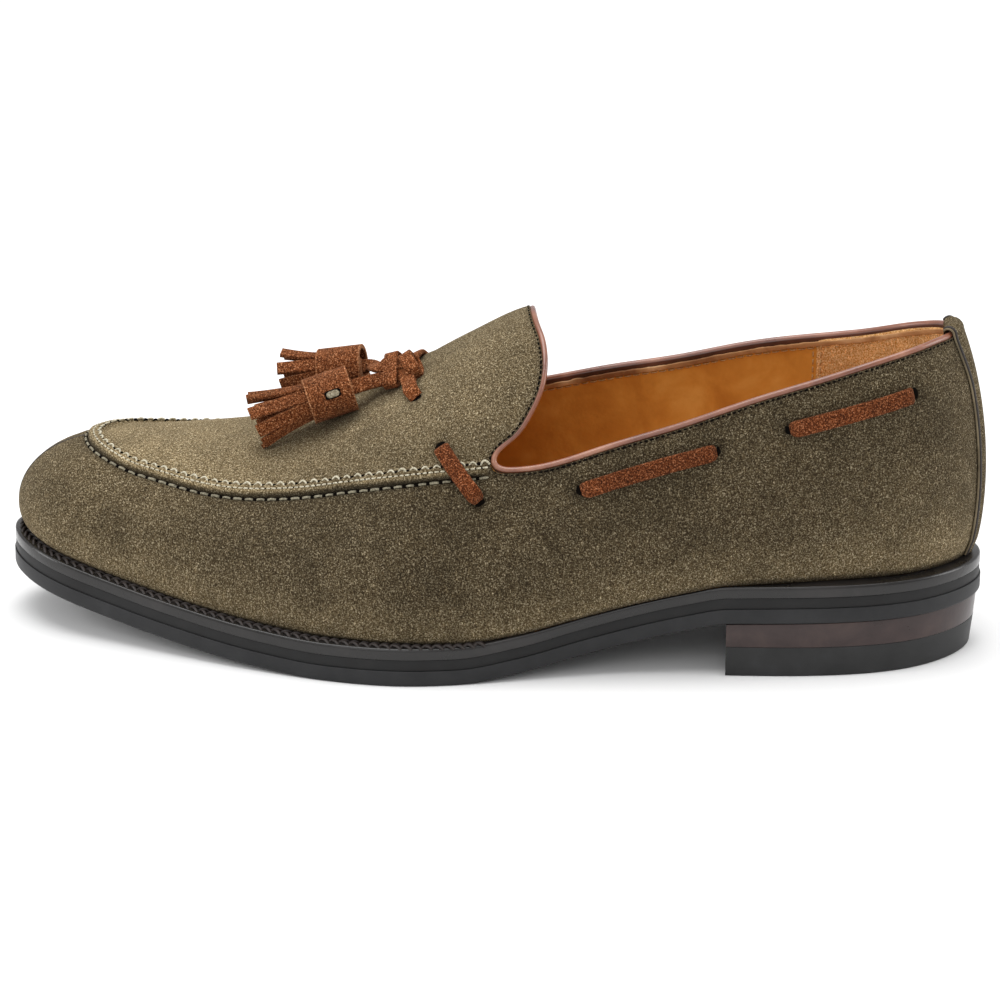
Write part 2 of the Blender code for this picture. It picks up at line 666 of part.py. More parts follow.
def collar_depth(points):
    """How far each point lies inside the collar's opening seen from the side, below zero in the wall."""
    outer, inner = collar_profile("outer"), collar_profile("inner")
    weight = np.clip((points[:, 1] + COLLAR_BLEND) / (2 * COLLAR_BLEND), 0.0, 1.0)[:, None, None]
    edge = outer * (1 - weight) + inner * weight
    place = points[:, None, [0, 2]]
    a, b = edge[:, :-1], edge[:, 1:]
    along = np.clip(((place - a) * (b - a)).sum(2) / ((b - a) ** 2).sum(2), 0.0, 1.0)[..., None]
    distance = np.linalg.norm(place - a - along * (b - a), axis=2).min(axis=1)
    sky = np.stack([edge[:, -1] + [0.0, 1.0], edge[:, 0] + [0.0, 1.0]], axis=1)
    shape = np.concatenate([edge, sky, edge[:, :1]], axis=1)
    a, b = shape[:, :-1], shape[:, 1:]
    crosses = (a[..., 1] > place[..., 1]) != (b[..., 1] > place[..., 1])
    rise = np.where(crosses, b[..., 1] - a[..., 1], 1.0)
    meets = a[..., 0] + (place[..., 1] - a[..., 1]) / rise * (b[..., 0] - a[..., 0])
    inside = (crosses & (place[..., 0] < meets)).sum(axis=1) % 2 == 1
    return np.where(inside, distance, -distance)


def collar_loop(depth, inset, count):
    """The closed line round the collar at one depth of the opening, with the outward directions."""
    shares = np.linspace(0.0, 1.0, 46)
    grid, _ = last_grid(all_stations(16, 90), lambda station, side: (shares, np.zeros(len(shares))))
    normals = grid_normals(grid)
    grid = grid - normals * inset
    level = collar_depth(grid.reshape(-1, 3)).reshape(grid.shape[:2]) - depth
    crossings, links = {}, {}

    def crossing(a, b):
        key = (a, b) if a < b else (b, a)
        if (level[a] > 0) == (level[b] > 0):
            return None
        share = level[a] / (level[a] - level[b])
        point = grid[a] + (grid[b] - grid[a]) * share
        crossings[key] = np.concatenate([point, normals[a] + (normals[b] - normals[a]) * share])
        return key

    for k in range(grid.shape[0] - 1):
        for j in range(grid.shape[1] - 1):
            corners = [(k, j), (k + 1, j), (k + 1, j + 1), (k, j + 1)]
            found = [crossing(corners[i], corners[i - 1]) for i in range(4)]
            found = [key for key in found if key]
            if len(found) == 2:
                links.setdefault(found[0], []).append(found[1])
                links.setdefault(found[1], []).append(found[0])
    here = min(key for key in links if key[0][0] == 0 and key[1][0] == 0)
    chain, seen = [], set()
    while here is not None:
        chain.append(crossings[here])
        seen.add(here)
        here = next((key for key in links[here] if key not in seen), None)
    chain = np.array(chain[:-1])
    lengths = np.linalg.norm(np.diff(np.concatenate([chain, chain[:1]])[:, :3], axis=0), axis=1)
    reach = np.concatenate([[0.0], np.cumsum(lengths)])
    at = np.linspace(0.0, reach[-1], LOOP_FINENESS * count, endpoint=False)
    closed = np.concatenate([chain, chain[:1]])
    loop = np.stack([np.interp(at, reach, closed[:, i]) for i in range(6)], axis=1)
    for _ in range(2):
        loop = (np.roll(loop, 1, axis=0) + 2 * loop + np.roll(loop, -1, axis=0)) / 4
    loop = loop[::LOOP_FINENESS]
    return loop[:, :3], loop[:, 3:] / np.linalg.norm(loop[:, 3:], axis=1)[:, None]


def swept(
    name, material, path, normals, half_width, half_height, sides=8, closed=False, square=1.0, ends=1.0
):
    """A band or cord along a path: half_height along the normals and half_width across them."""
    path, normals = np.asarray(path), np.asarray(normals)
    if closed:
        ahead = np.roll(path, -1, axis=0) - np.roll(path, 1, axis=0)
    else:
        ahead = np.gradient(path, axis=0)
    ahead /= np.linalg.norm(ahead, axis=1)[:, None]
    normals = normals - (normals * ahead).sum(1)[:, None] * ahead
    normals /= np.linalg.norm(normals, axis=1)[:, None]
    across = np.cross(ahead, normals)
    angle = (np.arange(sides) + 0.5) * 2 * math.pi / sides
    u = np.sign(np.cos(angle)) * np.abs(np.cos(angle)) ** square * half_width
    v = np.sign(np.sin(angle)) * np.abs(np.sin(angle)) ** square * half_height
    scale = np.ones(len(path))
    if not closed:
        scale[[0, -1]] = ends
    vertices = [
        path[i] + scale[i] * (u[s] * across[i] + v[s] * normals[i])
        for i in range(len(path))
        for s in range(sides)
    ]
    faces = []
    for i in range(len(path) if closed else len(path) - 1):
        j = (i + 1) % len(path)
        for s in range(sides):
            t = (s + 1) % sides
            faces.append((i * sides + s, i * sides + t, j * sides + t, j * sides + s))
    if not closed:
        last = (len(path) - 1) * sides
        faces += [tuple(range(sides)), tuple(last + s for s in range(sides))]
    return finished(name, material, vertices, faces)


def build_upper():
    """The lasted upper: a hollow wall with the apron's raised seam, open underneath and at the collar."""
    base, raised = last_grid(all_stations(FAN_STATIONS, MIDDLE_STATIONS), row_shares)
    normals = grid_normals(base)
    outer = base + normals * raised[..., None]
    inwards = -normals
    level = inwards[:, [0, -1]] * [1.0, 1.0, 0.0]
    inwards[:, [0, -1]] = level / np.linalg.norm(level, axis=2, keepdims=True)
    inner = base + inwards * WALL
    count, rows = base.shape[:2]
    vertices = np.concatenate([outer.reshape(-1, 3), inner.reshape(-1, 3)])
    size = count * rows
    faces = []
    for k in range(count - 1):
        for j in range(rows - 1):
            a, b = k * rows + j, (k + 1) * rows + j
            faces += [(a, b, b + 1, a + 1), (size + a, size + a + 1, size + b + 1, size + b)]
        for a, b in ((k * rows, (k + 1) * rows), (k * rows + rows - 1, (k + 1) * rows + rows - 1)):
            faces.append((a, b, size + b, size + a))
    upper = finished("upper", "olive_suede", vertices, faces)
    cut = upper.modifiers.new("collar", "BOOLEAN")
    cut.operation, cut.solver = "DIFFERENCE", "EXACT"
    cut.object = collar_cutter()
    return upper


def collar_cutter():
    """The space over the collar's opening, whose edge runs a binding's width outside the finished edge."""
    grow = BINDING_DIAMETER + GAP + BINDING_CLEARANCE
    reach = 2 * BALL_WIDTH
    levels = [(-reach, "outer"), (-COLLAR_BLEND, "outer"), (COLLAR_BLEND, "inner"), (reach, "inner")]
    vertices = []
    for y, side in levels:
        edge = collar_profile(side, grow)
        sky = [edge[-1] + [0.0, 1.0 * INSTEP_RISE], edge[0] + [0.0, 1.0 * INSTEP_RISE]]
        vertices += [(x, y, z) for x, z in np.concatenate([edge, sky])]
    size = COLLAR_POINTS + 2
    faces = [tuple(range(size)), tuple(3 * size + i for i in range(size))]
    for layer in range(3):
        for i in range(size):
            a, b = layer * size + i, layer * size + (i + 1) % size
            faces.append((a, b, b + size, a + size))
    cutter = finished("collar_cutter", "olive_suede", vertices, faces)
    cutter.hide_render = True
    cutter.display_type = "WIRE"
    return cutter


def build_binding():
    """The leather roll round the collar's edge."""
    path, normals = collar_loop(-BINDING_DIAMETER / 2, WALL / 2, 104)
    return swept(
        "collar_binding", "brown_binding_leather", path, normals, BINDING_DIAMETER / 2, BINDING_DIAMETER / 2,
        sides=6, closed=True,
    )


def build_strap():
    """The suede strap that runs up the back seam and rolls over the collar's edge to the inside."""
    half = STRAP_THICKNESS / 2
    outside = GAP + half + STRAP_CLEARANCE
    inside = WALL + GAP + half + STRAP_CLEARANCE
    columns = np.linspace(-1.0, 1.0, 7)
    reach = math.asin(STRAP_WIDTH / 2 / abs(FEATHER.across(HEEL_CENTRE, "inner"))) * 2 / math.pi
    grids = []
    for column_share in columns:
        side = "outer" if column_share < 0 else "inner"
        station = abs(column_share) * reach
        shares = np.linspace(0.2, 0.9, 200)
        run = np.array([wall_at(station, side, share) for share in shares])
        depth = collar_depth(run)
        edge = np.interp(-BINDING_DIAMETER / 2, depth, shares)
        length = wall_profile(station, side)[1][-1]
        frame = [wall_normal(station, side, edge), wall_at(station, side, edge)]
        ahead = wall_at(station, side, edge + 0.01) - wall_at(station, side, edge - 0.01)
        ahead /= np.linalg.norm(ahead)
        centre = frame[1] - frame[0] * WALL / 2
        radius = (outside + inside - WALL) / 2 + WALL / 2
        line = []
        for share in np.linspace(0.004, edge, 12, endpoint=False):
            normal = wall_normal(station, side, share)
            line.append((wall_at(station, side, share) + normal * outside, normal))
        for angle in np.linspace(0.0, math.pi, 7):
            normal = frame[0] * math.cos(angle) + ahead * math.sin(angle)
            line.append((centre + normal * radius, normal))
        for share in np.linspace(edge, edge - STRAP_TAIL / length, 5)[1:]:
            normal = wall_normal(station, side, share)
            line.append((wall_at(station, side, share) - normal * inside, -normal))
        grids.append([[point + normal * half, point - normal * half] for point, normal in line])
    grid = np.array(grids)
    across, down = grid.shape[:2]
    vertices = np.concatenate([grid[:, :, 0].reshape(-1, 3), grid[:, :, 1].reshape(-1, 3)])
    size = across * down
    faces = []
    for i in range(across - 1):
        for j in range(down - 1):
            a, b = i * down + j, (i + 1) * down + j
            faces += [(a, b, b + 1, a + 1), (size + a, size + a + 1, size + b + 1, size + b)]
        for a, b in ((i * down, (i + 1) * down), (i * down + down - 1, (i + 1) * down + down - 1)):
            faces.append((a, b, size + b, size + a))
    for j in range(down - 1):
        for a in (j, (across - 1) * down + j):
            faces.append((a, a + 1, size + a + 1, size + a))
    return finished("back_strap", "olive_suede", vertices, faces)


def lace(name, path, normals, ends=1.0):
    """A stretch of the flat lace along a path."""
    half_width, half_height = LACE_WIDTH / 2, LACE_THICKNESS / 2
    return swept(
        name, "rust_suede", path, normals, half_width, half_height, square=LACE_SQUARENESS, ends=ends
    )


def build_lace_bars():
    """The lace where it runs outside the wall, between its holes, on both sides."""
    bars = []
    for row in LACE_BARS:
        lift = GAP + LACE_THICKNESS / 2 + LACE_CLEARANCE
        if row["name"] == "vamp":
            lift += SEAM_HEIGHT
        for side in SIDES:
            path, normals = [], []
            for share in np.linspace(0.0, 1.0, BAR_STEPS):
                x = float(x_at(row["from_along"] + (row["to_along"] - row["from_along"]) * share))
                height = row["from_height"] + (row["to_height"] - row["from_height"]) * share
                point, normal = on_wall(x, float(welt_top(x)) + height * INSTEP_RISE, side, lift)
                path.append(point)
                normals.append(normal)
            bars.append(lace(f"lace_{row['name']}_{side}", path, normals, LACE_END))
    return bars


def direction(turn, dip):
    """Unit vector towards the toe, turned outwards and dipped by these angles in degrees."""
    turn, dip = math.radians(turn), math.radians(dip)
    return np.array([-math.cos(turn) * math.cos(dip), -math.sin(turn) * math.cos(dip), -math.sin(dip)])


def place_on_vamp(row, lift):
    """A table row's place on the vamp."""
    return on_top(float(x_at(row["along"])), row["across"] * BALL_WIDTH, lift)[0]


def tassel_frame(row):
    """The middle of a tassel's band, its direction and two directions across it."""
    ahead = direction(row["turn"], row["dip"])
    centre = place_on_vamp(row, row["lift"] + TASSEL_DIAMETER / 2 + GAP)
    across = np.cross([0.0, 0.0, 1.0], ahead)
    across /= np.linalg.norm(across)
    return centre, ahead, across, np.cross(ahead, across)


def turned(name, centre, axes, profile, sides):
    """A turned piece: profile has rows of distance along the axis and radius, closed on itself."""
    ahead, across, up = axes
    vertices, faces = [], []
    for s in range(sides):
        angle = 2 * math.pi * s / sides
        outwards = across * math.cos(angle) + up * math.sin(angle)
        vertices += [centre + ahead * at + outwards * radius for at, radius in profile]
    size = len(profile)
    for s in range(sides):
        t = (s + 1) % sides
        for i in range(size):
            j = (i + 1) % size
            faces.append((s * size + i, s * size + j, t * size + j, t * size + i))
    return finished(name, "rust_suede", vertices, faces)


def build_tassel(row):
    """One tassel: its rolled band, and its core with the fringe's strips fused on."""
    centre, *axes = tassel_frame(row)
    ahead, across, up = axes
    half, radius = TASSEL_BAND_LENGTH / 2, TASSEL_DIAMETER / 2
    hollow, rim = radius - TASSEL_BAND_WALL, TASSEL_RIM
    band_profile = [(-half, hollow), (-half, radius - rim), (rim - half, radius)]
    band_profile += [(half - rim, radius), (half, radius - rim), (half, hollow)]
    band = turned(f"tassel_{row['name']}_band", centre, axes, band_profile, 20)
    core_radius = hollow - GAP
    back, front = LACE_SEAT - half, half + FRINGE_ROOT
    core_profile = [(back, 0.0), (back, core_radius), (front, core_radius), (front, 0.0)]
    core = turned(f"tassel_{row['name']}_fringe", centre, axes, core_profile, 16)
    for i, strip in enumerate(FRINGE):
        angle = math.radians(strip["turn"])
        outwards = across * math.cos(angle) + up * math.sin(angle)
        seat = core_radius - FRINGE_THICKNESS * 0.8
        root, reach = half - FRINGE_ROOT, FRINGE_LENGTH * strip["length"] * row["fringe"] + FRINGE_ROOT
        path = [
            centre
            + ahead * (root + reach * share)
            + outwards * (seat + FRINGE_SPLAY * strip["splay"] * share**1.6)
            for share in np.linspace(0.0, 1.0, 5)
        ]
        leaf = swept(
            f"strip_{i}", "rust_suede", path, [outwards] * len(path),
            FRINGE_WIDTH / 2, FRINGE_THICKNESS / 2, sides=4,
        )
        leaf.hide_render, leaf.display_type = True, "WIRE"
        fuse = core.modifiers.new(f"strip_{i}", "BOOLEAN")
        fuse.operation, fuse.solver, fuse.object = "UNION", "EXACT", leaf
    return [band, core]


def lead_line():
    """The knot, the sleeve in front of it, the direction from one to the other and those across it."""
    knot, sleeve = place_on_vamp(KNOT, KNOT["lift"]), place_on_vamp(SLEEVE, SLEEVE["lift"])
    towards = (sleeve - knot) / np.linalg.norm(sleeve - knot)
    side = np.cross([0.0, 0.0, 1.0], towards)
    side /= np.linalg.norm(side)
    return knot, sleeve, towards, side, np.cross(towards, side)


def build_lead(row):
    """The lace's end from the knot through the sleeve to a tassel."""
    centre, ahead = tassel_frame(row)[:2]
    knot, sleeve, towards, side, _ = lead_line()
    offset = -side * row["lead"]
    start = knot + towards * (LACE_WIDTH / 2 + KNOT_WALL + LEAD_CLEARANCE)
    end = centre - ahead * (TASSEL_BAND_LENGTH / 2 - LACE_SEAT + GAP)
    leave = sleeve + towards * (SLEEVE_LENGTH / 2 + LEAD_CLEARANCE)
    guide = [start + offset, sleeve + offset, leave + offset, end - ahead * LACE_SEAT, end]
    path = resampled(curve_through(guide), 14)
    shares = np.linspace(0.0, 1.0, len(path))
    rolls = [math.radians(row["roll"]) * max(0.0, 2 * share - 1) for share in shares]
    normals = [(0.0, -math.sin(roll), math.cos(roll)) for roll in rolls]
    return lace(f"lace_end_{row['name']}", path, normals)


def oval_ring(name, centre, axes, half_width, half_height, wall, length):
    """A strip of lace wrapped round an oval."""
    axis, side, up = axes
    vertices, faces = [], []
    sides = 16
    for s in range(sides):
        angle = 2 * math.pi * (s + 0.5) / sides
        u = math.copysign(abs(math.cos(angle)) ** LACE_SQUARENESS, math.cos(angle))
        v = math.copysign(abs(math.sin(angle)) ** LACE_SQUARENESS, math.sin(angle))
        for end, skin in ((-1, 0.0), (-1, wall), (1, wall), (1, 0.0)):
            out = side * u * (half_width + skin) + up * v * (half_height + skin)
            vertices.append(centre + axis * end * length / 2 + out)
    for s in range(sides):
        t = (s + 1) % sides
        for i in range(4):
            j = (i + 1) % 4
            faces.append((s * 4 + i, s * 4 + j, t * 4 + j, t * 4 + i))
    return finished(name, "rust_suede", vertices, faces)


def build_knot():
    """The lace over the ridge from hole to hole, the turn of lace round it and the sleeve in front."""
    knot, sleeve, towards, side, up = lead_line()
    lift = GAP + LACE_THICKNESS / 2 + 2 * LACE_CLEARANCE
    outer, inner = (place_on_vamp(row, lift) for row in LACE_HOLES)
    flat = side * KNOT_LENGTH / 2
    bridge_path = resampled(curve_through([outer, knot + flat, knot, knot - flat, inner]), 21)
    under = [on_top(x, y)[1] for x, y, _ in bridge_path]
    bridge = lace("lace_bridge", bridge_path, under, LACE_END)
    half_width, half_height = LACE_WIDTH / 2 + GAP, LACE_THICKNESS / 2 + GAP
    turn = oval_ring("lace_knot", knot, (side, towards, up), half_width, half_height, KNOT_WALL, KNOT_LENGTH)
    pair = abs(TASSELS[0]["lead"]) + half_width
    axes = (towards, side, up)
    wrap = oval_ring("lace_sleeve", sleeve, axes, pair, half_height, SLEEVE_WALL, SLEEVE_LENGTH)
    return [bridge, turn, wrap]


def heel_inset(along, down):
    """How far the heel's side stands inside the sole's edge, more towards the back and lower down."""
    back = np.clip(1.0 - along * SOLE_LENGTH / HEEL_LENGTH, 0.0, 1.0)
    return HEEL_STEP * back + HEEL_TAPER * down * back**2


def build_sole():
    """Outsole, midsole, welt, heel and insole."""
    breast = float(SOLE.heel[0]) - HEEL_LENGTH
    toe, heel = float(SOLE.toe[0]), float(SOLE.heel[0])
    midsole_low = OUTSOLE_THICKNESS
    welt_low = OUTSOLE_THICKNESS + MIDSOLE_THICKNESS
    midsole_edge = Outline(outline_points(MIDSOLE_INSET))
    pieces = [
        plate("outsole", "charcoal_outsole_rubber", SOLE, toe, heel, underside,
              lambda x: underside(x) + midsole_low - GAP),
        plate("midsole", "black_midsole_rubber", midsole_edge, float(midsole_edge.toe[0]),
              float(midsole_edge.heel[0]), lambda x: underside(x) + midsole_low,
              lambda x: underside(x) + welt_low - WELT_CLEARANCE),
        ring("welt", "dark_brown_welt_leather", Outline(outline_points(WELT_INSET)),
             Outline(outline_points(WELT_RING_WIDTH)), lambda x: underside(x) + welt_low, welt_top),
    ]
    drop = float(underside(breast))
    levels = (1.0, 1.0 - TOP_LIFT_THICKNESS / drop, 0.0)
    low, middle, high = (
        Outline(outline_points(lambda along, _, down=down: heel_inset(along, down))) for down in levels
    )
    pieces += [
        plate("heel_stack", "brown_heel_leather", middle, breast, float(middle.heel[0]),
              lambda x: TOP_LIFT_THICKNESS, lambda x: underside(x) - GAP, HEEL_STEPS, high),
        plate("heel_top_lift", "black_heel_rubber", low, breast, float(low.heel[0]),
              lambda x: 0.0, lambda x: TOP_LIFT_THICKNESS - GAP, HEEL_STEPS, middle),
    ]
    bed = Outline(outline_points(lambda along, outer: ledge(along, outer) + WALL + GAP))
    pieces.append(
        plate("insole", "tan_lining_leather", bed, float(bed.toe[0]), float(bed.heel[0]),
              lambda x: welt_top(x) + GAP, lambda x: welt_top(x) + GAP + INSOLE_THICKNESS)
    )
    return pieces


def stand_on_middle(pieces, loose):
    """Moves every piece so that the box round the shoe, without its loose lace ends, is centred."""
    graph = bpy.context.evaluated_depsgraph_get()
    corners = []
    for piece in pieces:
        if piece.name in loose:
            continue
        mesh = piece.evaluated_get(graph).to_mesh()
        places = np.empty(len(mesh.vertices) * 3, np.float32)
        mesh.vertices.foreach_get("co", places)
        corners.append(places.reshape(-1, 3))
        piece.evaluated_get(graph).to_mesh_clear()
    corners = np.concatenate(corners)
    middle = (corners.min(axis=0) + corners.max(axis=0)) / 2
    for obj in bpy.data.objects:
        for vertex in obj.data.vertices:
            vertex.co.x -= middle[0]
            vertex.co.y -= middle[1]


def main():
    for obj in list(bpy.data.objects):
        bpy.data.objects.remove(obj, do_unlink=True)
    pieces = build_sole()
    pieces += [build_upper(), build_binding(), build_strap()]
    pieces += build_lace_bars()
    loose = build_knot()
    for row in TASSELS:
        loose.append(build_lead(row))
        loose += build_tassel(row)
    bpy.context.view_layer.update()
    stand_on_middle(pieces + loose, {piece.name for piece in loose})


if __name__ == "__main__":
    main()
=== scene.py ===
"""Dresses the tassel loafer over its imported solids, with its seams, stitches, lace, tassels and studio."""

import math

import bmesh
import bpy
import numpy as np
from mathutils import Matrix, Vector


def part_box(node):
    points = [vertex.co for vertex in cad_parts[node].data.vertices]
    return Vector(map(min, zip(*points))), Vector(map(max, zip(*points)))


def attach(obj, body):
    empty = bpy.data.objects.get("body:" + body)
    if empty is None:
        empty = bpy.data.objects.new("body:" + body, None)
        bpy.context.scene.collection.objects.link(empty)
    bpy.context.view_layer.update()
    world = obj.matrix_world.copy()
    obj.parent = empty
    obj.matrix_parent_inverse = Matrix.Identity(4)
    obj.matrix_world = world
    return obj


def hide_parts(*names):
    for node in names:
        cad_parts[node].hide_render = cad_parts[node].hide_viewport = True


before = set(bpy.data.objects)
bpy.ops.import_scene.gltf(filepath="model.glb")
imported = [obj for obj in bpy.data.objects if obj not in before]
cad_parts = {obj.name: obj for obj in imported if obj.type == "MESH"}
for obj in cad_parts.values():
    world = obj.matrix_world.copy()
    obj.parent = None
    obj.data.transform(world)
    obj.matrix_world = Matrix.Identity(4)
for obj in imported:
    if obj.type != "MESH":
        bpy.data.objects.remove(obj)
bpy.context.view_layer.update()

bl_info = {
    "name": "Tassel Loafer Dresser",
    "version": (1, 0, 0),
    "blender": (4, 5, 0),
    "location": "View3D > Sidebar > Loafer",
    "description": "Dresses a tassel loafer's solids with suede, seams, stitches, lace and tassels",
    "category": "Object",
}

# Driving sizes, the same as the solids'
SOLE_LENGTH = 0.2975
BALL_WIDTH = 0.1045
HEEL_BACK = 0.1465
HEEL_RISE = 0.0168
TOE_SPRING = 0.0150
OUTSOLE_THICKNESS = 0.0048
MIDSOLE_THICKNESS = 0.0034
WELT_THICKNESS = 0.0036
WELT_RING_WIDTH = 0.013
HEEL_LENGTH = 0.0766
TOP_LIFT_THICKNESS = 0.0092
HEEL_TAPER = 0.0016
HEEL_STEP = 0.0010
INSOLE_THICKNESS = 0.0025
WALL = 0.0021
INSTEP_RISE = 0.0800
SEAM_HEIGHT = 0.0015
SEAM_WIDTH = 0.0046
BINDING_DIAMETER = 0.0019
STRAP_THICKNESS = 0.0010
STRAP_WIDTH = 0.0135
STRAP_TAIL = 0.0110
LACE_WIDTH = 0.0047
LACE_THICKNESS = 0.0017
TASSEL_DIAMETER = 0.0132
TASSEL_BAND_LENGTH = 0.0137
TASSEL_BAND_WALL = 0.0013
FRINGE_LENGTH = 0.0168
FRINGE_WIDTH = 0.0042
FRINGE_THICKNESS = 0.0013
FRINGE_SPLAY = 0.0024
SLEEVE_LENGTH = 0.0046
SLEEVE_WALL = 0.0011
KNOT_WALL = 0.0009
KNOT_LENGTH = 0.0044
LACE_SEAT = 0.0025
LEAD_CLEARANCE = 0.0009
GAP = 0.0003
MIDSOLE_INSET = 0.0004
WELT_INSET = 0.0003
HEEL_FAN = 0.150
TOE_FAN = 0.862
COLLAR_CORNER = 8
COLLAR_CORNER_RADIUS = 0.0035
COLLAR_BLEND = 0.015
SEAM_FADE = 0.007
SIDES = {"outer": -1, "inner": 1}
OTHER = {"outer": "inner", "inner": "outer"}


def table(names, *lines):
    """Columns of a table by name."""
    return {name: np.array(values) for name, values in zip(names.split(), zip(*lines))}


def records(names, *lines):
    """Lines of a table, each with its values by name."""
    return [dict(zip(names.split(), line)) for line in lines]


# The sole's outline in order round the shoe, as shares of its length and of the ball width
OUTLINE = table(
    "along across",
    (0.000, 0.010), (0.050, -0.245), (0.120, -0.335), (0.200, -0.365), (0.345, -0.382), (0.463, -0.458),
    (0.582, -0.528), (0.672, -0.488), (0.794, -0.363), (0.892, -0.241), (0.963, -0.126), (1.000, 0.085),
    (0.963, 0.290), (0.892, 0.414), (0.794, 0.474), (0.700, 0.480), (0.611, 0.425), (0.476, 0.305),
    (0.343, 0.255), (0.200, 0.296), (0.120, 0.282), (0.050, 0.205),
)
UNDERSIDE = table(
    "along heel toe",
    (0.000, 1.030, 0.00), (0.255, 0.965, 0.00), (0.300, 0.820, 0.00), (0.344, 0.642, 0.00),
    (0.403, 0.390, 0.00), (0.463, 0.140, 0.00), (0.525, 0.000, 0.00), (0.655, 0.000, 0.00),
    (0.730, 0.000, 0.09), (0.830, 0.000, 0.34), (0.920, 0.000, 0.67), (1.000, 0.000, 1.00),
)
LEDGE = table(
    "along outer inner",
    (0.00, 0.040, 0.040), (0.12, 0.050, 0.040), (0.20, 0.030, 0.024), (0.27, 0.006, 0.012),
    (0.36, 0.002, 0.006), (0.45, 0.010, 0.010), (0.55, 0.030, 0.022), (0.62, 0.042, 0.032),
    (0.85, 0.045, 0.042), (1.00, 0.052, 0.052),
)
LAST = table(
    "along rise across full_outer full_inner bulge_outer bulge_inner seam_outer seam_inner",
    (0.00, 1.230, 0.000, 2.60, 2.60, 0.036, 0.036, 0.600, 0.600),
    (0.15, 1.220, -0.010, 3.00, 3.00, 0.032, 0.030, 0.600, 0.600),
    (0.30, 1.110, -0.010, 2.60, 2.70, 0.028, 0.026, 0.600, 0.600),
    (0.42, 1.085, 0.000, 2.25, 2.35, 0.028, 0.032, 0.440, 0.455),
    (0.46, 1.092, 0.015, 2.15, 2.25, 0.024, 0.030, 0.447, 0.465),
    (0.52, 1.012, 0.035, 2.10, 2.20, 0.022, 0.026, 0.466, 0.485),
    (0.58, 0.874, 0.050, 2.12, 2.25, 0.024, 0.022, 0.481, 0.500),
    (0.65, 0.720, 0.062, 2.20, 2.40, 0.024, 0.020, 0.501, 0.520),
    (0.72, 0.612, 0.070, 2.35, 2.50, 0.022, 0.020, 0.501, 0.520),
    (0.80, 0.530, 0.078, 2.50, 2.60, 0.022, 0.020, 0.533, 0.545),
    (0.86, 0.478, 0.082, 2.60, 2.65, 0.024, 0.020, 0.608, 0.610),
    (1.00, 0.400, 0.085, 3.05, 3.05, 0.044, 0.044, 0.715, 0.715),
)
COLLAR = table(
    "along_outer outer along_inner inner",
    (0.4590, 1.550, 0.4700, 1.550), (0.4515, 1.073, 0.4620, 1.060), (0.4435, 1.009, 0.4575, 0.990),
    (0.4405, 0.941, 0.4535, 0.925), (0.4425, 0.882, 0.4530, 0.868), (0.4530, 0.801, 0.4570, 0.815),
    (0.4690, 0.728, 0.4650, 0.770), (0.4880, 0.686, 0.4800, 0.735), (0.4970, 0.648, 0.4870, 0.715),
    (0.4520, 0.630, 0.4520, 0.722), (0.3830, 0.641, 0.3830, 0.722), (0.3140, 0.661, 0.3140, 0.703),
    (0.2465, 0.710, 0.2465, 0.708), (0.1785, 0.780, 0.1785, 0.738), (0.1110, 0.845, 0.1110, 0.783),
    (0.0530, 0.884, 0.0530, 0.852), (-0.0800, 0.905, -0.0800, 0.893),
)
LACE_BARS = records(
    "name from_along from_height to_along to_height",
    ("vamp", 0.5445, 0.7135, 0.504, 0.5385), ("side", 0.4035, 0.500, 0.271, 0.538),
    ("heel", 0.199, 0.605, 0.077, 0.707),
)
KNOT = {"along": 0.577, "across": -0.045, "lift": 0.0034}
SLEEVE = {"along": 0.596, "across": -0.026, "lift": 0.0048}
LACE_HOLES = {"near": {"along": 0.5745, "across": -0.160}, "far": {"along": 0.574, "across": 0.150}}
# Each tassel's place on the vamp, the angles that its band is turned and dipped by, its height over the vamp,
# its lace end's place across the bow and roll at the band, its fringe's share of the length, and where its
# roll ends
TASSELS = records(
    "name along across turn dip lift lead roll fringe curl",
    ("near", 0.652, -0.060, 12.0, 17.0, 0.0012, -0.0025, 55.0, 1.00, 205.0),
    ("far", 0.647, 0.134, -6.0, 10.0, 0.0009, 0.0025, 48.0, 0.68, 215.0),
)
# The strips of a fringe: turn round the tassel from its outer side, shares of the length, the splay and the
# width, how far in from the band's wall the strip starts, its twist, and how far its tip is drawn up or down
FRINGE = table(
    "turn length splay width inwards twist fan",
    (-84.0, 1.04, 0.20, 0.42, 0.0006, 20.0, -0.0044), (-40.0, 1.00, 0.35, 0.90, 0.0, 10.0, -0.0034),
    (0.0, 1.03, 0.60, 0.98, 0.0, -8.0, -0.0018), (42.0, 1.07, 0.80, 0.95, 0.0, 7.0, -0.0001),
    (86.0, 0.99, 1.10, 0.86, 0.0, -12.0, 0.0004), (131.0, 1.04, 0.95, 0.95, 0.0, 9.0, 0.0),
    (173.0, 0.94, 0.90, 0.90, 0.0, -6.0, 0.0), (215.0, 1.00, 0.20, 0.86, 0.0, 12.0, -0.0004),
    (-18.0, 0.93, -0.20, 0.74, 0.0021, 24.0, -0.0024), (24.0, 0.96, 0.0, 0.70, 0.0019, -18.0, -0.0010),
    (64.0, 1.02, 0.15, 0.78, 0.0019, -26.0, 0.0), (150.0, 0.97, 0.10, 0.74, 0.0019, 18.0, 0.0),
)

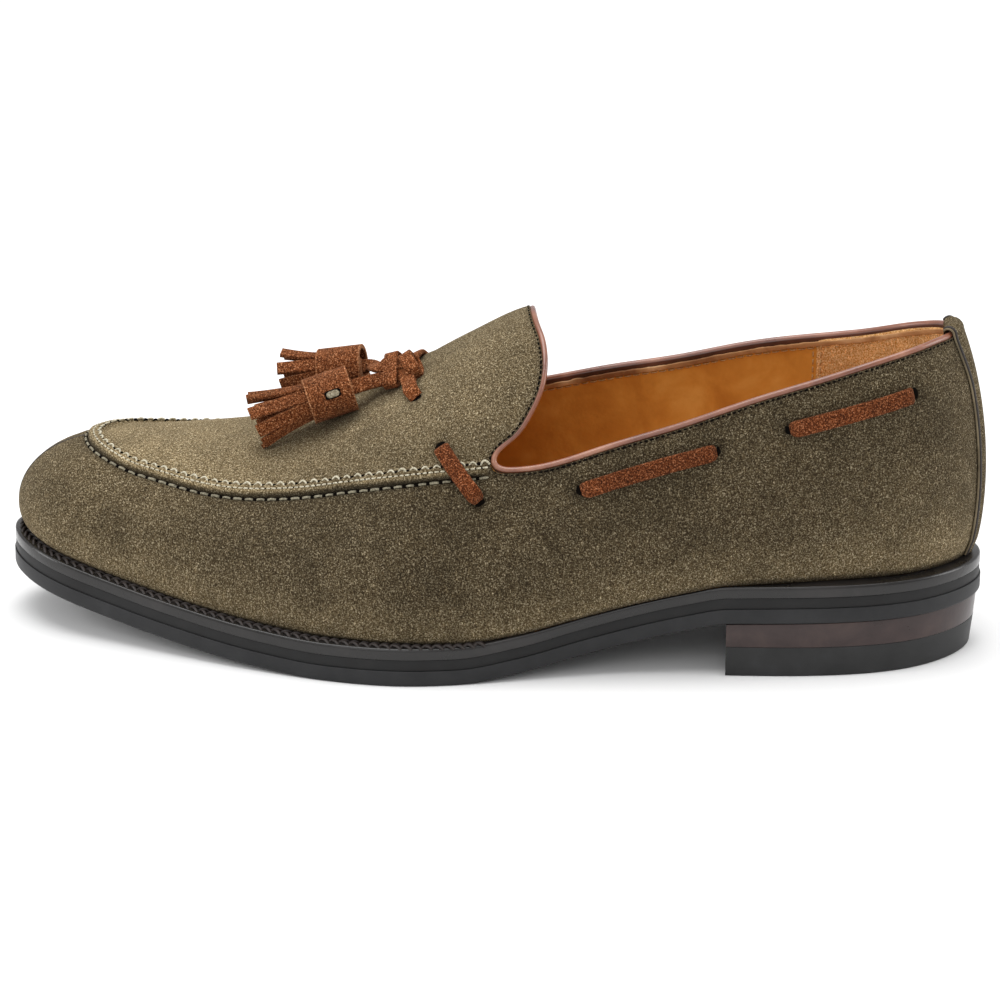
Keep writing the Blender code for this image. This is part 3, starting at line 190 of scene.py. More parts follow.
# Soft flex troughs across the ball and under the vamp lace: side, share along, share of the wall's length at
# the middle, lean in degrees, half-lengths in metres along and across the trough, and depth
CREASES = records(
    "side along share lean reach width depth",
    ("outer", 0.600, 0.26, 24.0, 0.022, 0.0042, 0.00034),
    ("outer", 0.652, 0.30, 14.0, 0.019, 0.0038, 0.00030),
    ("outer", 0.548, 0.34, 34.0, 0.018, 0.0046, 0.00030),
    ("outer", 0.455, 0.36, 58.0, 0.024, 0.0056, 0.00034),
    ("outer", 0.130, 0.30, 70.0, 0.026, 0.0070, 0.00028),
    ("outer", 0.620, 0.74, -12.0, 0.016, 0.0052, 0.00030),
    ("inner", 0.610, 0.28, 22.0, 0.022, 0.0042, 0.00034),
    ("inner", 0.660, 0.30, 10.0, 0.018, 0.0038, 0.00030),
    ("inner", 0.440, 0.36, 56.0, 0.026, 0.0060, 0.00034),
    ("inner", 0.140, 0.32, 68.0, 0.026, 0.0070, 0.00028),
)


def fair_slopes(knots, values, closed):
    """Slopes at the knots of the cubic spline through the values, natural or closed."""
    count = len(knots) - 1 if closed else len(knots)
    matrix = np.zeros((count, count))
    right = np.zeros((count,) + values.shape[1:])
    steps = np.diff(knots)
    for i in range(count):
        if not closed and i in (0, count - 1):
            j = 1 if i == 0 else count - 2
            matrix[i, i], matrix[i, j] = 2.0, 1.0
            a, b = (0, 1) if i == 0 else (count - 2, count - 1)
            right[i] = 3.0 * (values[b] - values[a]) / steps[a]
            continue
        before, after = steps[i - 1], steps[i]
        left = (i - 1) % count
        matrix[i, left] += after
        matrix[i, i] += 2.0 * (before + after)
        matrix[i, (i + 1) % count] += before
        last = values[left] if closed else values[i - 1]
        right[i] = 3.0 * (after * (values[i] - last) / before + before * (values[i + 1] - values[i]) / after)
    slopes = np.linalg.solve(matrix, right.reshape(count, -1)).reshape(right.shape)
    return np.concatenate([slopes, slopes[:1]]) if closed else slopes


def level_slopes(knots, values):
    """Slopes that keep a rising or level table rising or level between its rows."""
    steps = np.diff(knots)
    rates = np.diff(values) / steps
    slopes = np.zeros(len(knots))
    for i in range(1, len(knots) - 1):
        if rates[i - 1] * rates[i] > 0:
            near = 2 * steps[i] + steps[i - 1]
            far = steps[i] + 2 * steps[i - 1]
            slopes[i] = (near + far) / (near / rates[i - 1] + far / rates[i])
    slopes[0], slopes[-1] = rates[0], rates[-1]
    return slopes


def hermite(knots, values, slopes, at):
    """Cubic pieces through the values with the given slopes, read at the places in at."""
    at = np.clip(np.asarray(at, float), knots[0], knots[-1])
    i = np.clip(np.searchsorted(knots, at, side="right") - 1, 0, len(knots) - 2)
    step = knots[i + 1] - knots[i]
    u = (at - knots[i]) / step
    if values.ndim > 1:
        u, step = u[..., None], step[..., None]
    flat = (2 * u**3 - 3 * u**2 + 1) * values[i] + (3 * u**2 - 2 * u**3) * values[i + 1]
    return flat + (u**3 - 2 * u**2 + u) * step * slopes[i] + (u**3 - u**2) * step * slopes[i + 1]


def column(rows, name, along, level=False):
    """One column of a table at the places in along."""
    knots, values = rows["along"], rows[name]
    slopes = level_slopes(knots, values) if level else fair_slopes(knots, values, False)
    return hermite(knots, values, slopes, along)


def curve_through(points, closed=False, steps=24):
    """A dense smooth curve through points."""
    points = np.asarray(points, float)
    if closed:
        points = np.concatenate([points, points[:1]])
    knots = np.concatenate([[0.0], np.cumsum(np.linalg.norm(np.diff(points, axis=0), axis=1))])
    slopes = fair_slopes(knots, points, closed)
    inner = [np.linspace(a, b, steps, endpoint=False) for a, b in zip(knots[:-1], knots[1:])]
    at = np.concatenate(inner if closed else inner + [knots[-1:]])
    return hermite(knots, points, slopes, at)


def run_lengths(points):
    """Length along a curve up to each of its points."""
    return np.concatenate([[0.0], np.cumsum(np.linalg.norm(np.diff(points, axis=0), axis=1))])


def read_along(points, values, at):
    """Values that belong to a curve's points, read at lengths along it."""
    lengths = run_lengths(points)
    return np.stack([np.interp(at, lengths, values[:, i]) for i in range(values.shape[1])], axis=1)


def resampled(points, count):
    """Points at even steps along a curve."""
    return read_along(points, points, np.linspace(0.0, run_lengths(points)[-1], count))


def unit(vectors):
    """Vectors of length one."""
    vectors = np.asarray(vectors, float)
    return vectors / np.maximum(np.linalg.norm(vectors, axis=-1, keepdims=True), 1e-12)


def spread(*runs):
    """Values in runs that follow on, each from a start to an end with a count."""
    parts = [np.linspace(low, high, count, endpoint=False) for low, high, count in runs[:-1]]
    return np.concatenate([*parts, np.linspace(*runs[-1])])


def ramp(low, high, value):
    """A smooth step from 0 at low to 1 at high."""
    share = np.clip((np.asarray(value) - low) / (high - low), 0.0, 1.0)
    return share * share * (3 - 2 * share)


def share_of(x):
    """Share along the sole of a place at x."""
    return (HEEL_BACK - np.asarray(x)) / SOLE_LENGTH


def x_at(along):
    """Place along X of a share along the sole."""
    return HEEL_BACK - np.asarray(along) * SOLE_LENGTH


def underside(x):
    """Height of the sole's underside at x."""
    along = share_of(x)
    heel = column(UNDERSIDE, "heel", along, level=True)
    return heel * HEEL_RISE + column(UNDERSIDE, "toe", along, level=True) * TOE_SPRING


SOLE_THICKNESS = OUTSOLE_THICKNESS + MIDSOLE_THICKNESS + WELT_THICKNESS


def welt_top(x):
    """Height of the welt's upper face at x."""
    return underside(x) + SOLE_THICKNESS


class Outline:
    """A closed outline in plan, split at its ends into an outer and an inner side."""

    def __init__(self, points):
        heel, toe = points[:, 0].argmax(), points[:, 0].argmin()
        points = np.roll(points, -heel, axis=0)
        toe = (toe - heel) % len(points)
        inner = np.concatenate([points[toe:], points[:1]])
        self.sides = {"outer": points[: toe + 1][::-1], "inner": inner}
        self.heel, self.toe = points[0], points[toe]

    def across(self, x, side):
        """Place along Y of this outline's side at x."""
        run = self.sides[side]
        return np.interp(x, run[:, 0], run[:, 1])


OUTLINE_STEPS = 40


def outline_points(inset=0.0):
    """The sole's outline, moved inwards by inset, a length or a function of the share along and the side."""
    rows = np.stack([x_at(OUTLINE["along"]), OUTLINE["across"] * BALL_WIDTH], axis=1)
    points = curve_through(rows, closed=True, steps=OUTLINE_STEPS)
    ahead = np.roll(points, -1, axis=0) - np.roll(points, 1, axis=0)
    inwards = unit(np.stack([ahead[:, 1], -ahead[:, 0]], axis=1))
    if callable(inset):
        is_outer = np.arange(len(points)) < OUTLINE["along"].argmax() * OUTLINE_STEPS
        inset = inset(share_of(points[:, 0]), is_outer)[:, None]
    return points + inwards * inset


def ledge(along, is_outer):
    """Width of the welt that shows outside the upper."""
    return np.where(is_outer, column(LEDGE, "outer", along), column(LEDGE, "inner", along)) * BALL_WIDTH


SOLE = Outline(outline_points())
FEATHER = Outline(outline_points(ledge))
HEEL_CENTRE = float(x_at(HEEL_FAN))
TOE_CENTRE = float(x_at(TOE_FAN))
OUTSOLE_LOW, OUTSOLE_HIGH = (np.array(corner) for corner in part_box("outsole"))
SHIFT = np.array([
    OUTSOLE_HIGH[0] - SOLE.heel[0],
    OUTSOLE_LOW[1] - SOLE.sides["outer"][:, 1].min(),
    0.0,
])


def feather_point(station, side):
    """Lower edge of the upper at a station: 0 to 1 round the heel, 1 to 2 forward, 2 to 3 round the toe."""
    if station <= 1.0:
        reach = FEATHER.heel[0] - HEEL_CENTRE
        x = HEEL_CENTRE + reach * math.cos(station * math.pi / 2)
    elif station <= 2.0:
        x = HEEL_CENTRE + (TOE_CENTRE - HEEL_CENTRE) * (station - 1.0)
    else:
        reach = FEATHER.toe[0] - TOE_CENTRE
        x = TOE_CENTRE + reach * math.sin((station - 2.0) * math.pi / 2)
    return x, float(FEATHER.across(x, side))


def last_value(name, x):
    """One column of the last's table at x."""
    return float(column(LAST, name, share_of(x)))


def side_value(name, station, side):
    """A column that differs by side, brought together where the sides meet at the heel and the toe."""
    x = feather_point(station, side)[0]
    own, other = last_value(f"{name}_{side}", x), last_value(f"{name}_{OTHER[side]}", x)
    apart = min(station, 3.0 - station, 1.0)
    apart = apart * apart * (3 - 2 * apart)
    return (own + other) / 2 + (own - other) / 2 * apart


PROFILE_STEPS = 90
_profiles = {}


def wall_profile(station, side):
    """The wall's run at a station, from its lower edge to the ridge, and the length up to each point."""
    key = (round(station, 6), side)
    if key in _profiles:
        return _profiles[key]
    x, y = feather_point(station, side)
    base = np.array([x, y, float(welt_top(x)) + GAP])
    top_x = min(max(x, TOE_CENTRE), HEEL_CENTRE)
    across = last_value("across", top_x) * BALL_WIDTH
    top = np.array([top_x, across, welt_top(top_x) + last_value("rise", top_x) * INSTEP_RISE])
    full = side_value("full", station, side)
    bulge = side_value("bulge", station, side) * BALL_WIDTH
    outwards = base[:2] - top[:2]
    reach = np.linalg.norm(outwards)
    outwards /= reach
    angle = np.linspace(0.0, math.pi / 2, PROFILE_STEPS)
    rise = np.clip(np.sin(angle), 0, 1) ** (2 / full)
    near = np.clip(np.cos(angle), 0, 1) ** (2 / full)
    near[-1], rise[0] = 0.0, 0.0
    run = near * reach + bulge * np.sin(math.pi * rise**0.62)
    points = np.concatenate(
        [top[:2] + run[:, None] * outwards, (base[2] + rise * (top[2] - base[2]))[:, None]], axis=1
    )
    points[-1] = top
    _profiles[key] = points, run_lengths(points)
    return _profiles[key]


def wall_at(station, side, share):
    """Point of the last at a share of the wall's length; past an end or the ridge, on the other side."""
    if share > 1.0:
        side, share = OTHER[side], 2.0 - share
    if station < 0.0 or station > 3.0:
        side, station = OTHER[side], -station if station < 0.0 else 6.0 - station
    points, lengths = wall_profile(station, side)
    return read_along(points, points, np.array([share * lengths[-1]]))[0]


def wall_normal(station, side, share):
    """Outward direction of the last at a point."""
    up = wall_at(station, side, share + 0.012) - wall_at(station, side, max(share - 0.012, 0.0))
    forward = wall_at(station + 0.02, side, share) - wall_at(station - 0.02, side, share)
    return unit(np.cross(forward, up) * SIDES[side])


def on_wall(x, height, side, lift=0.0):
    """Point of the wall at a place seen from the side, moved outwards by lift, and the outward direction."""

    def share_at(station):
        points, lengths = wall_profile(station, side)
        return np.interp(height, points[:, 2], lengths / lengths[-1])

    low, high = 0.0, 3.0
    for _ in range(24):
        middle = (low + high) / 2
        if wall_at(middle, side, share_at(middle))[0] > x:
            low = middle
        else:
            high = middle
    share = share_at(low)
    normal = wall_normal(low, side, share)
    return wall_at(low, side, share) + normal * lift, normal


def on_side(x, height, side, lift=0.0):
    """The wall's point and direction at a height over the welt, a share of the instep's rise."""
    return on_wall(x, float(welt_top(x)) + height * INSTEP_RISE, side, lift)


def on_top(x, y, lift=0.0):
    """Point of the upper above a place in plan, moved outwards by lift, and the outward direction."""
    station = 1.0 + (HEEL_CENTRE - x) / (HEEL_CENTRE - TOE_CENTRE)
    ridge = last_value("across", x) * BALL_WIDTH
    side = "outer" if y < ridge else "inner"
    points, lengths = wall_profile(station, side)
    top = points[:, 2].argmax() + 1
    start = np.abs(points[:top, 1] - ridge).argmax()
    run = np.abs(points[start:top, 1] - ridge)
    share = np.interp(-abs(y - ridge), -run, lengths[start:top] / lengths[-1])
    normal = wall_normal(station, side, share)
    return wall_at(station, side, share) + normal * lift, normal


def grid_normals(grid):
    """Outward directions of a grid of points that runs from the heel to the toe and from side to side."""
    past_heel, past_toe = grid[1:2, ::-1], grid[-2:-1, ::-1]
    forward = np.concatenate([grid[1:], past_toe]) - np.concatenate([past_heel, grid[:-1]])
    wide = np.concatenate([grid[:, :1], grid, grid[:, -1:]], axis=1)
    normals = np.cross(wide[:, 2:] - wide[:, :-2], forward)
    sizes = np.linalg.norm(normals, axis=2, keepdims=True)
    upright = np.broadcast_to([0.0, 0.0, 1.0], normals.shape)
    return np.where(sizes > 1e-10, normals / np.maximum(sizes, 1e-10), upright)


def wall_grid(stations, shares_of):
    """Points of the last in rows from edge to edge, with their shares and which columns are outer."""
    points, shares = [], []
    for station in stations:
        halves, rows = [], []
        for side in SIDES:
            share = shares_of(station, side)
            profile, lengths = wall_profile(station, side)
            run = read_along(profile, profile, share * lengths[-1])
            halves.append(run if side == "outer" else run[-2::-1])
            rows.append(share if side == "outer" else share[-2::-1])
        points.append(np.concatenate(halves))
        shares.append(np.concatenate(rows))
    points, shares = np.array(points), np.array(shares)
    is_outer = np.arange(points.shape[1]) <= points.shape[1] // 2
    return points, shares, is_outer


COLLAR_POINTS = 220


def collar_profile(side):
    """The collar's edge seen from the side, from the throat down and back to the heel."""
    places = x_at(COLLAR[f"along_{side}"])
    rows = np.stack([places, welt_top(places) + COLLAR[side] * INSTEP_RISE], axis=1)
    front = resampled(curve_through(rows[: COLLAR_CORNER + 1]), 60)
    back = resampled(curve_through(rows[COLLAR_CORNER:]), 100)
    cut = 1.3 * COLLAR_CORNER_RADIUS
    corner = front[-1]
    front = front[np.linalg.norm(front - corner, axis=1) > cut]
    back = back[np.linalg.norm(back - corner, axis=1) > cut]
    turn = np.linspace(0.0, 1.0, 9)[1:-1, None]
    bend = (1 - turn) ** 2 * front[-1] + 2 * turn * (1 - turn) * corner + turn**2 * back[0]
    return resampled(np.concatenate([front, bend, back]), COLLAR_POINTS)


COLLAR_EDGES = [collar_profile(side) for side in SIDES]


def collar_depth(points):
    """How far each point lies inside the collar's opening seen from the side, below zero in the wall."""
    if len(points) > 2000:
        halves = np.array_split(points, 2)
        return np.concatenate([collar_depth(half) for half in halves])
    outer, inner = COLLAR_EDGES
    weight = np.clip((points[:, 1] + COLLAR_BLEND) / (2 * COLLAR_BLEND), 0.0, 1.0)[:, None, None]
    edge = outer * (1 - weight) + inner * weight
    place = points[:, None, [0, 2]]
    a, b = edge[:, :-1], edge[:, 1:]
    along = np.clip(((place - a) * (b - a)).sum(2) / ((b - a) ** 2).sum(2), 0.0, 1.0)[..., None]
    distance = np.linalg.norm(place - a - along * (b - a), axis=2).min(axis=1)
    sky = np.stack([edge[:, -1] + [0.0, 1.0], edge[:, 0] + [0.0, 1.0]], axis=1)
    shape = np.concatenate([edge, sky, edge[:, :1]], axis=1)
    a, b = shape[:, :-1], shape[:, 1:]
    crosses = (a[..., 1] > place[..., 1]) != (b[..., 1] > place[..., 1])
    rise = np.where(crosses, b[..., 1] - a[..., 1], 1.0)
    meets = a[..., 0] + (place[..., 1] - a[..., 1]) / rise * (b[..., 0] - a[..., 0])
    inside = (crosses & (place[..., 0] < meets)).sum(axis=1) % 2 == 1
    return np.where(inside, distance, -distance)


_loops = {}


def loop_field():
    """The grid that the collar's lines are read from: its points, its directions and the opening's depth."""
    if not _loops:
        shares = np.linspace(0.0, 1.0, 46)
        stations = spread((0.0, 1.0, 20), (1.0, 2.0, 90), (2.0, 3.0, 6))
        grid = wall_grid(stations, lambda station, side: shares)[0]
        _loops["grid"], _loops["normals"] = grid, grid_normals(grid)
    return _loops["grid"], _loops["normals"]


def collar_loop(depth, inset, count):
    """The closed line round the collar where the opening has this depth, and its outward directions."""
    grid, normals = loop_field()
    grid = grid - normals * inset
    level = collar_depth(grid.reshape(-1, 3)).reshape(grid.shape[:2]) - depth
    crossings, links = {}, {}

    def crossing(a, b):
        key = (a, b) if a < b else (b, a)
        if (level[a] > 0) == (level[b] > 0):
            return None
        share = level[a] / (level[a] - level[b])
        point = grid[a] + (grid[b] - grid[a]) * share
        crossings[key] = np.concatenate([point, normals[a] + (normals[b] - normals[a]) * share])
        return key

    for k in range(grid.shape[0] - 1):
        for j in range(grid.shape[1] - 1):
            corners = [(k, j), (k + 1, j), (k + 1, j + 1), (k, j + 1)]
            found = [crossing(corners[i], corners[i - 1]) for i in range(4)]
            found = [key for key in found if key]
            if len(found) == 2:
                links.setdefault(found[0], []).append(found[1])
                links.setdefault(found[1], []).append(found[0])
    here = min(key for key in links if key[0][0] == 0 and key[1][0] == 0)
    chain, seen = [], set()
    while here is not None:
        chain.append(crossings[here])
        seen.add(here)
        here = next((key for key in links[here] if key not in seen), None)
    closed = np.array(chain[:-1] + chain[:1])
    fine = 2 * count
    at = np.linspace(0.0, run_lengths(closed[:, :3])[-1], fine, endpoint=False)
    loop = read_along(closed[:, :3], closed, at)
    smooth_rounds = min(max(2, round((fine / 208) ** 2)), 60)
    for _ in range(smooth_rounds):
        loop = (np.roll(loop, 1, axis=0) + 2 * loop + np.roll(loop, -1, axis=0)) / 4
    loop = loop[::2]
    return loop[:, :3], unit(loop[:, 3:])


def rgb(code):
    """Linear colour of an sRGB hex value."""
    parts = [int(code[i : i + 2], 16) / 255 for i in (1, 3, 5)]
    return tuple(((p + 0.055) / 1.055) ** 2.4 if p > 0.04045 else p / 12.92 for p in parts)


def add(tree, kind, settings=None, values=None, links=None):
    """Adds a node with its settings, its inputs' values and the links into it."""
    node = tree.nodes.new(kind)
    for name, value in (settings or {}).items():
        setattr(node, name, value)
    for name, value in (values or {}).items():
        node.inputs[name].default_value = value
    for name, source in (links or {}).items():
        tree.links.new(source, node.inputs[name])
    return node


def set_stops(node, stops, tint):
    """Sets a ramp's stops, each a place and an sRGB hex value, tinted towards the user's colour."""
    elements = node.color_ramp.elements
    while len(elements) < len(stops):
        elements.new(0.5)
    for element, (place, code) in zip(elements, stops):
        element.position = place
        element.color = (*(part * share for part, share in zip(rgb(code), tint)), 1.0)


def new_material(name):
    """An empty node material with its shader, and the object's own coordinates."""
    material = bpy.data.materials.new(name)
    material.use_nodes = True
    tree = material.node_tree
    tree.nodes.clear()
    shader = add(tree, "ShaderNodeBsdfPrincipled")
    add(tree, "ShaderNodeOutputMaterial", links={"Surface": shader.outputs["BSDF"]})
    place = add(tree, "ShaderNodeTexCoord").outputs["Object"]
    return material, tree, shader, place


def set_shader(shader, links, values):
    """Links the shader's sockets and sets those that stay constant."""
    for name, source in links.items():
        shader.id_data.links.new(source, shader.inputs[name])
    for name, value in values.items():
        shader.inputs[name].default_value = value


PLAIN = (1.0, 1.0, 1.0)
# Nap is finer than a pixel on the real suede, so its grains and fibres are drawn about twice as coarse
SPECKLE = 0.00047
NAP = 0.00030
FIBRE = 0.00050
FIBRE_THICKNESS = 0.28
BRUSH_MARK = 0.014
HIDE_PATCH = 0.045
SPECKLE_DEPTH = 0.0005
NAP_DEPTH = 0.0003
SHEEN_COLOUR = "#b5a68a"


def suede(name, stops, tint=PLAIN, lit_stops=(), nap=1.0, sheen=0.1, glint=1.70):
    """Brushed split leather: short fibres lie every way, so it is matt, speckled and soft at its edges.

    The upper has its own attributes: where it is paler, as painted light on the apron, a painted highlight on
    the seam's crest and paler suede low down, and where painted shade darkens its creases.
    """
    material, tree, shader, place = new_material(name)
    combed = []
    for lean in (0.7, -0.8):
        turned = {"Rotation": (lean, lean, 0.0), "Scale": (1.0, 1.0, FIBRE_THICKNESS)}
        lying = add(tree, "ShaderNodeMapping", values=turned, links={"Vector": place})
        combed.append(lying.outputs["Vector"])
    grains = []
    for at, size, detail, rough, twist in (
        (place, SPECKLE, 3.0, 0.75, 0.0), (place, NAP, 2.0, 0.6, 0.0),
        (place, BRUSH_MARK, 3.0, 0.6, 0.8), (place, HIDE_PATCH, 1.0, 0.5, 0.0),
        (combed[0], FIBRE, 1.0, 0.5, 0.0), (combed[1], FIBRE, 1.0, 0.5, 0.0),
    ):
        values = {"Scale": 1.0 / size, "Detail": detail, "Roughness": rough, "Distortion": twist}
        grains.append(add(tree, "ShaderNodeTexNoise", values=values, links={"Vector": at}).outputs["Fac"])
    speckle, fine, brushed, patch, left, right = grains
    fibre = add(tree, "ShaderNodeMath", {"operation": "MAXIMUM"}, links={0: left, 1: right}).outputs[0]
    links = {0: fine, 2: speckle}
    mixed = add(tree, "ShaderNodeMath", {"operation": "MULTIPLY_ADD"}, {1: 0.40}, links).outputs[0]
    span = {"From Min": 0.54, "From Max": 0.85, "To Min": 0.0, "To Max": 1.0}
    grain = add(tree, "ShaderNodeMapRange", values=span, links={"Value": mixed}).outputs["Result"]
    colour = add(tree, "ShaderNodeValToRGB", links={"Fac": grain})
    set_stops(colour, stops, tint)
    base = colour.outputs["Color"]
    # The crossing fibres lift the colour up to glint: pale fibres with painted glints on them
    shades = [
        (fibre, 0.60, 0.76, 0.93, glint), (brushed, 0.3, 0.7, 0.80, 1.20), (patch, 0.3, 0.7, 0.90, 1.10),
    ]
    # The upper's paler copy holds painted light and highlight and paler suede low down; its crease attribute
    # darkens the colour as painted shade
    if lit_stops:
        pale = add(tree, "ShaderNodeValToRGB", links={"Fac": grain})
        set_stops(pale, lit_stops, tint)
        mask, crease = (
            add(tree, "ShaderNodeAttribute", {"attribute_name": key}).outputs["Fac"]
            for key in ("paler", "crease")
        )
        links = {0: mask, 6: base, 7: pale.outputs["Color"]}
        base = add(tree, "ShaderNodeMix", {"data_type": "RGBA"}, links=links).outputs[2]
        shades.insert(0, (crease, 0.0, 1.0, 1.0, 0.16))
    for value, low, high, at_low, at_high in shades:
        span = {"From Min": low, "From Max": high, "To Min": at_low, "To Max": at_high}
        shade = add(tree, "ShaderNodeMapRange", values=span, links={"Value": value}).outputs["Result"]
        links = {0: base, "Scale": shade}
        base = add(tree, "ShaderNodeVectorMath", {"operation": "SCALE"}, links=links).outputs["Vector"]
    values = {"Strength": 1.0 * nap, "Distance": SPECKLE_DEPTH}
    rough = add(tree, "ShaderNodeBump", values=values, links={"Height": speckle}).outputs["Normal"]
    values = {"Strength": 0.7 * nap, "Distance": NAP_DEPTH}
    links = {"Height": fine, "Normal": rough}
    hair = add(tree, "ShaderNodeBump", values=values, links=links).outputs["Normal"]
    set_shader(shader, {"Base Color": base, "Normal": hair}, {
        "Roughness": 0.95, "Specular IOR Level": 0.10, "Sheen Weight": sheen, "Sheen Roughness": 0.45,
        "Sheen Tint": (*rgb(SHEEN_COLOUR), 1.0),
    })
    return material


def worn_tone(name, stops, tint, patch, noise, roughness, duller, glossier):
    """A material whose colour and roughness drift together, with its nodes, for the maker of its surface."""
    material, tree, shader, place = new_material(name)
    detail, rough, twist = noise
    values = {"Scale": 1.0 / patch, "Detail": detail, "Roughness": rough, "Distortion": twist}
    tone = add(tree, "ShaderNodeTexNoise", values=values, links={"Vector": place}).outputs["Fac"]
    drift, gloss = (
        add(
            tree, "ShaderNodeMapRange",
            values={"From Min": 0.3, "From Max": 0.7, "To Min": low, "To Max": high}, links={"Value": tone},
        ).outputs["Result"]
        for low, high in ((0.0, 1.0), (roughness - glossier, roughness + duller))
    )
    colour = add(tree, "ShaderNodeValToRGB", links={"Fac": drift})
    set_stops(colour, stops, tint)
    set_shader(shader, {"Base Color": colour.outputs["Color"], "Roughness": gloss}, {})
    return material, tree, shader, place


def leather(name, stops, grain, roughness, coat=0.0, depth=0.00012, shine=0.5, tint=PLAIN):
    """Finished leather: a fine pebble under a thin finish, with slow changes of tone from the hide."""
    material, tree, shader, place = worn_tone(
        name, stops, tint, 0.016, (4.0, 0.6, 0.4), roughness, duller=0.08, glossier=0.06
    )
    values = {"Scale": 1.0 / grain, "Smoothness": 0.6}
    pebble = add(tree, "ShaderNodeTexVoronoi", {"feature": "SMOOTH_F1"}, values, {"Vector": place})
    values = {"Scale": 1.0 / (grain * 0.6), "Detail": 3.0, "Roughness": 0.6, "Distortion": 0.0}
    fine = add(tree, "ShaderNodeTexNoise", values=values, links={"Vector": place}).outputs["Fac"]
    values = {"Strength": 0.35, "Distance": depth}
    links = {"Height": pebble.outputs["Distance"]}
    bumped = add(tree, "ShaderNodeBump", values=values, links=links).outputs["Normal"]
    values = {"Strength": 0.25, "Distance": depth}
    links = {"Height": fine, "Normal": bumped}
    worn = add(tree, "ShaderNodeBump", values=values, links=links).outputs["Normal"]
    set_shader(shader, {"Normal": worn}, {
        "Specular IOR Level": shine, "Coat Weight": coat, "Coat Roughness": 0.25,
    })
    return material


GRINDING_MARK = 0.0007


def rubber(name, stops, roughness):
    """Moulded and trimmed rubber: nearly even, with fine grinding marks and a little dust in them."""
    material, tree, shader, place = worn_tone(
        name, stops, PLAIN, 0.010, (3.0, 0.55, 0.0), roughness, duller=0.07, glossier=0.05
    )
    trimmed = add(tree, "ShaderNodeMapping", values={"Scale": (0.12, 0.12, 1.0)}, links={"Vector": place})
    values = {"Scale": 1.0 / GRINDING_MARK, "Detail": 3.0, "Roughness": 0.6, "Distortion": 0.0}
    marks = add(tree, "ShaderNodeTexNoise", values=values, links={"Vector": trimmed.outputs["Vector"]})
    values = {"Strength": 0.22, "Distance": 0.0001}
    bump = add(tree, "ShaderNodeBump", values=values, links={"Height": marks.outputs["Fac"]})
    set_shader(shader, {"Normal": bump.outputs["Normal"]}, {"Specular IOR Level": 0.25})
    return material


THREAD_FIBRE = 0.0005


def spun_thread(name, stops):
    """Waxed linen thread: a tight twist with a dull shine."""
    material, tree, shader, place = new_material(name)
    values = {"Scale": 1.0 / THREAD_FIBRE, "Detail": 2.0, "Roughness": 0.6, "Distortion": 0.0}
    fibre = add(tree, "ShaderNodeTexNoise", values=values, links={"Vector": place}).outputs["Fac"]
    colour = add(tree, "ShaderNodeValToRGB", links={"Fac": fibre})
    set_stops(colour, stops, PLAIN)
    values = {"Strength": 0.4, "Distance": 0.0001}
    bump = add(tree, "ShaderNodeBump", values=values, links={"Height": fibre})
    links = {"Base Color": colour.outputs["Color"], "Normal": bump.outputs["Normal"]}
    set_shader(shader, links, {"Roughness": 0.6})
    return material


def studio_paint():
    """Painted studio floor: white and matt."""
    material, tree, shader, place = new_material("white_studio_paint")
    values = {"Scale": 2.0, "Detail": 1.0, "Roughness": 0.5, "Distortion": 0.0}
    patch = add(tree, "ShaderNodeTexNoise", values=values, links={"Vector": place})
    tone = add(tree, "ShaderNodeValToRGB", links={"Fac": patch.outputs["Fac"]})
    set_stops(tone, ((0.0, "#e8e8e8"), (1.0, "#eaeaea")), PLAIN)
    set_shader(shader, {"Base Color": tone.outputs["Color"]}, {"Roughness": 0.9})
    return material


# The middle colours of the four leathers that a user would choose
OLIVE = "#4d422f"
RUST = "#774121"
TAN = "#c98938"
BROWN = "#7f4e39"
FINISHES = {}


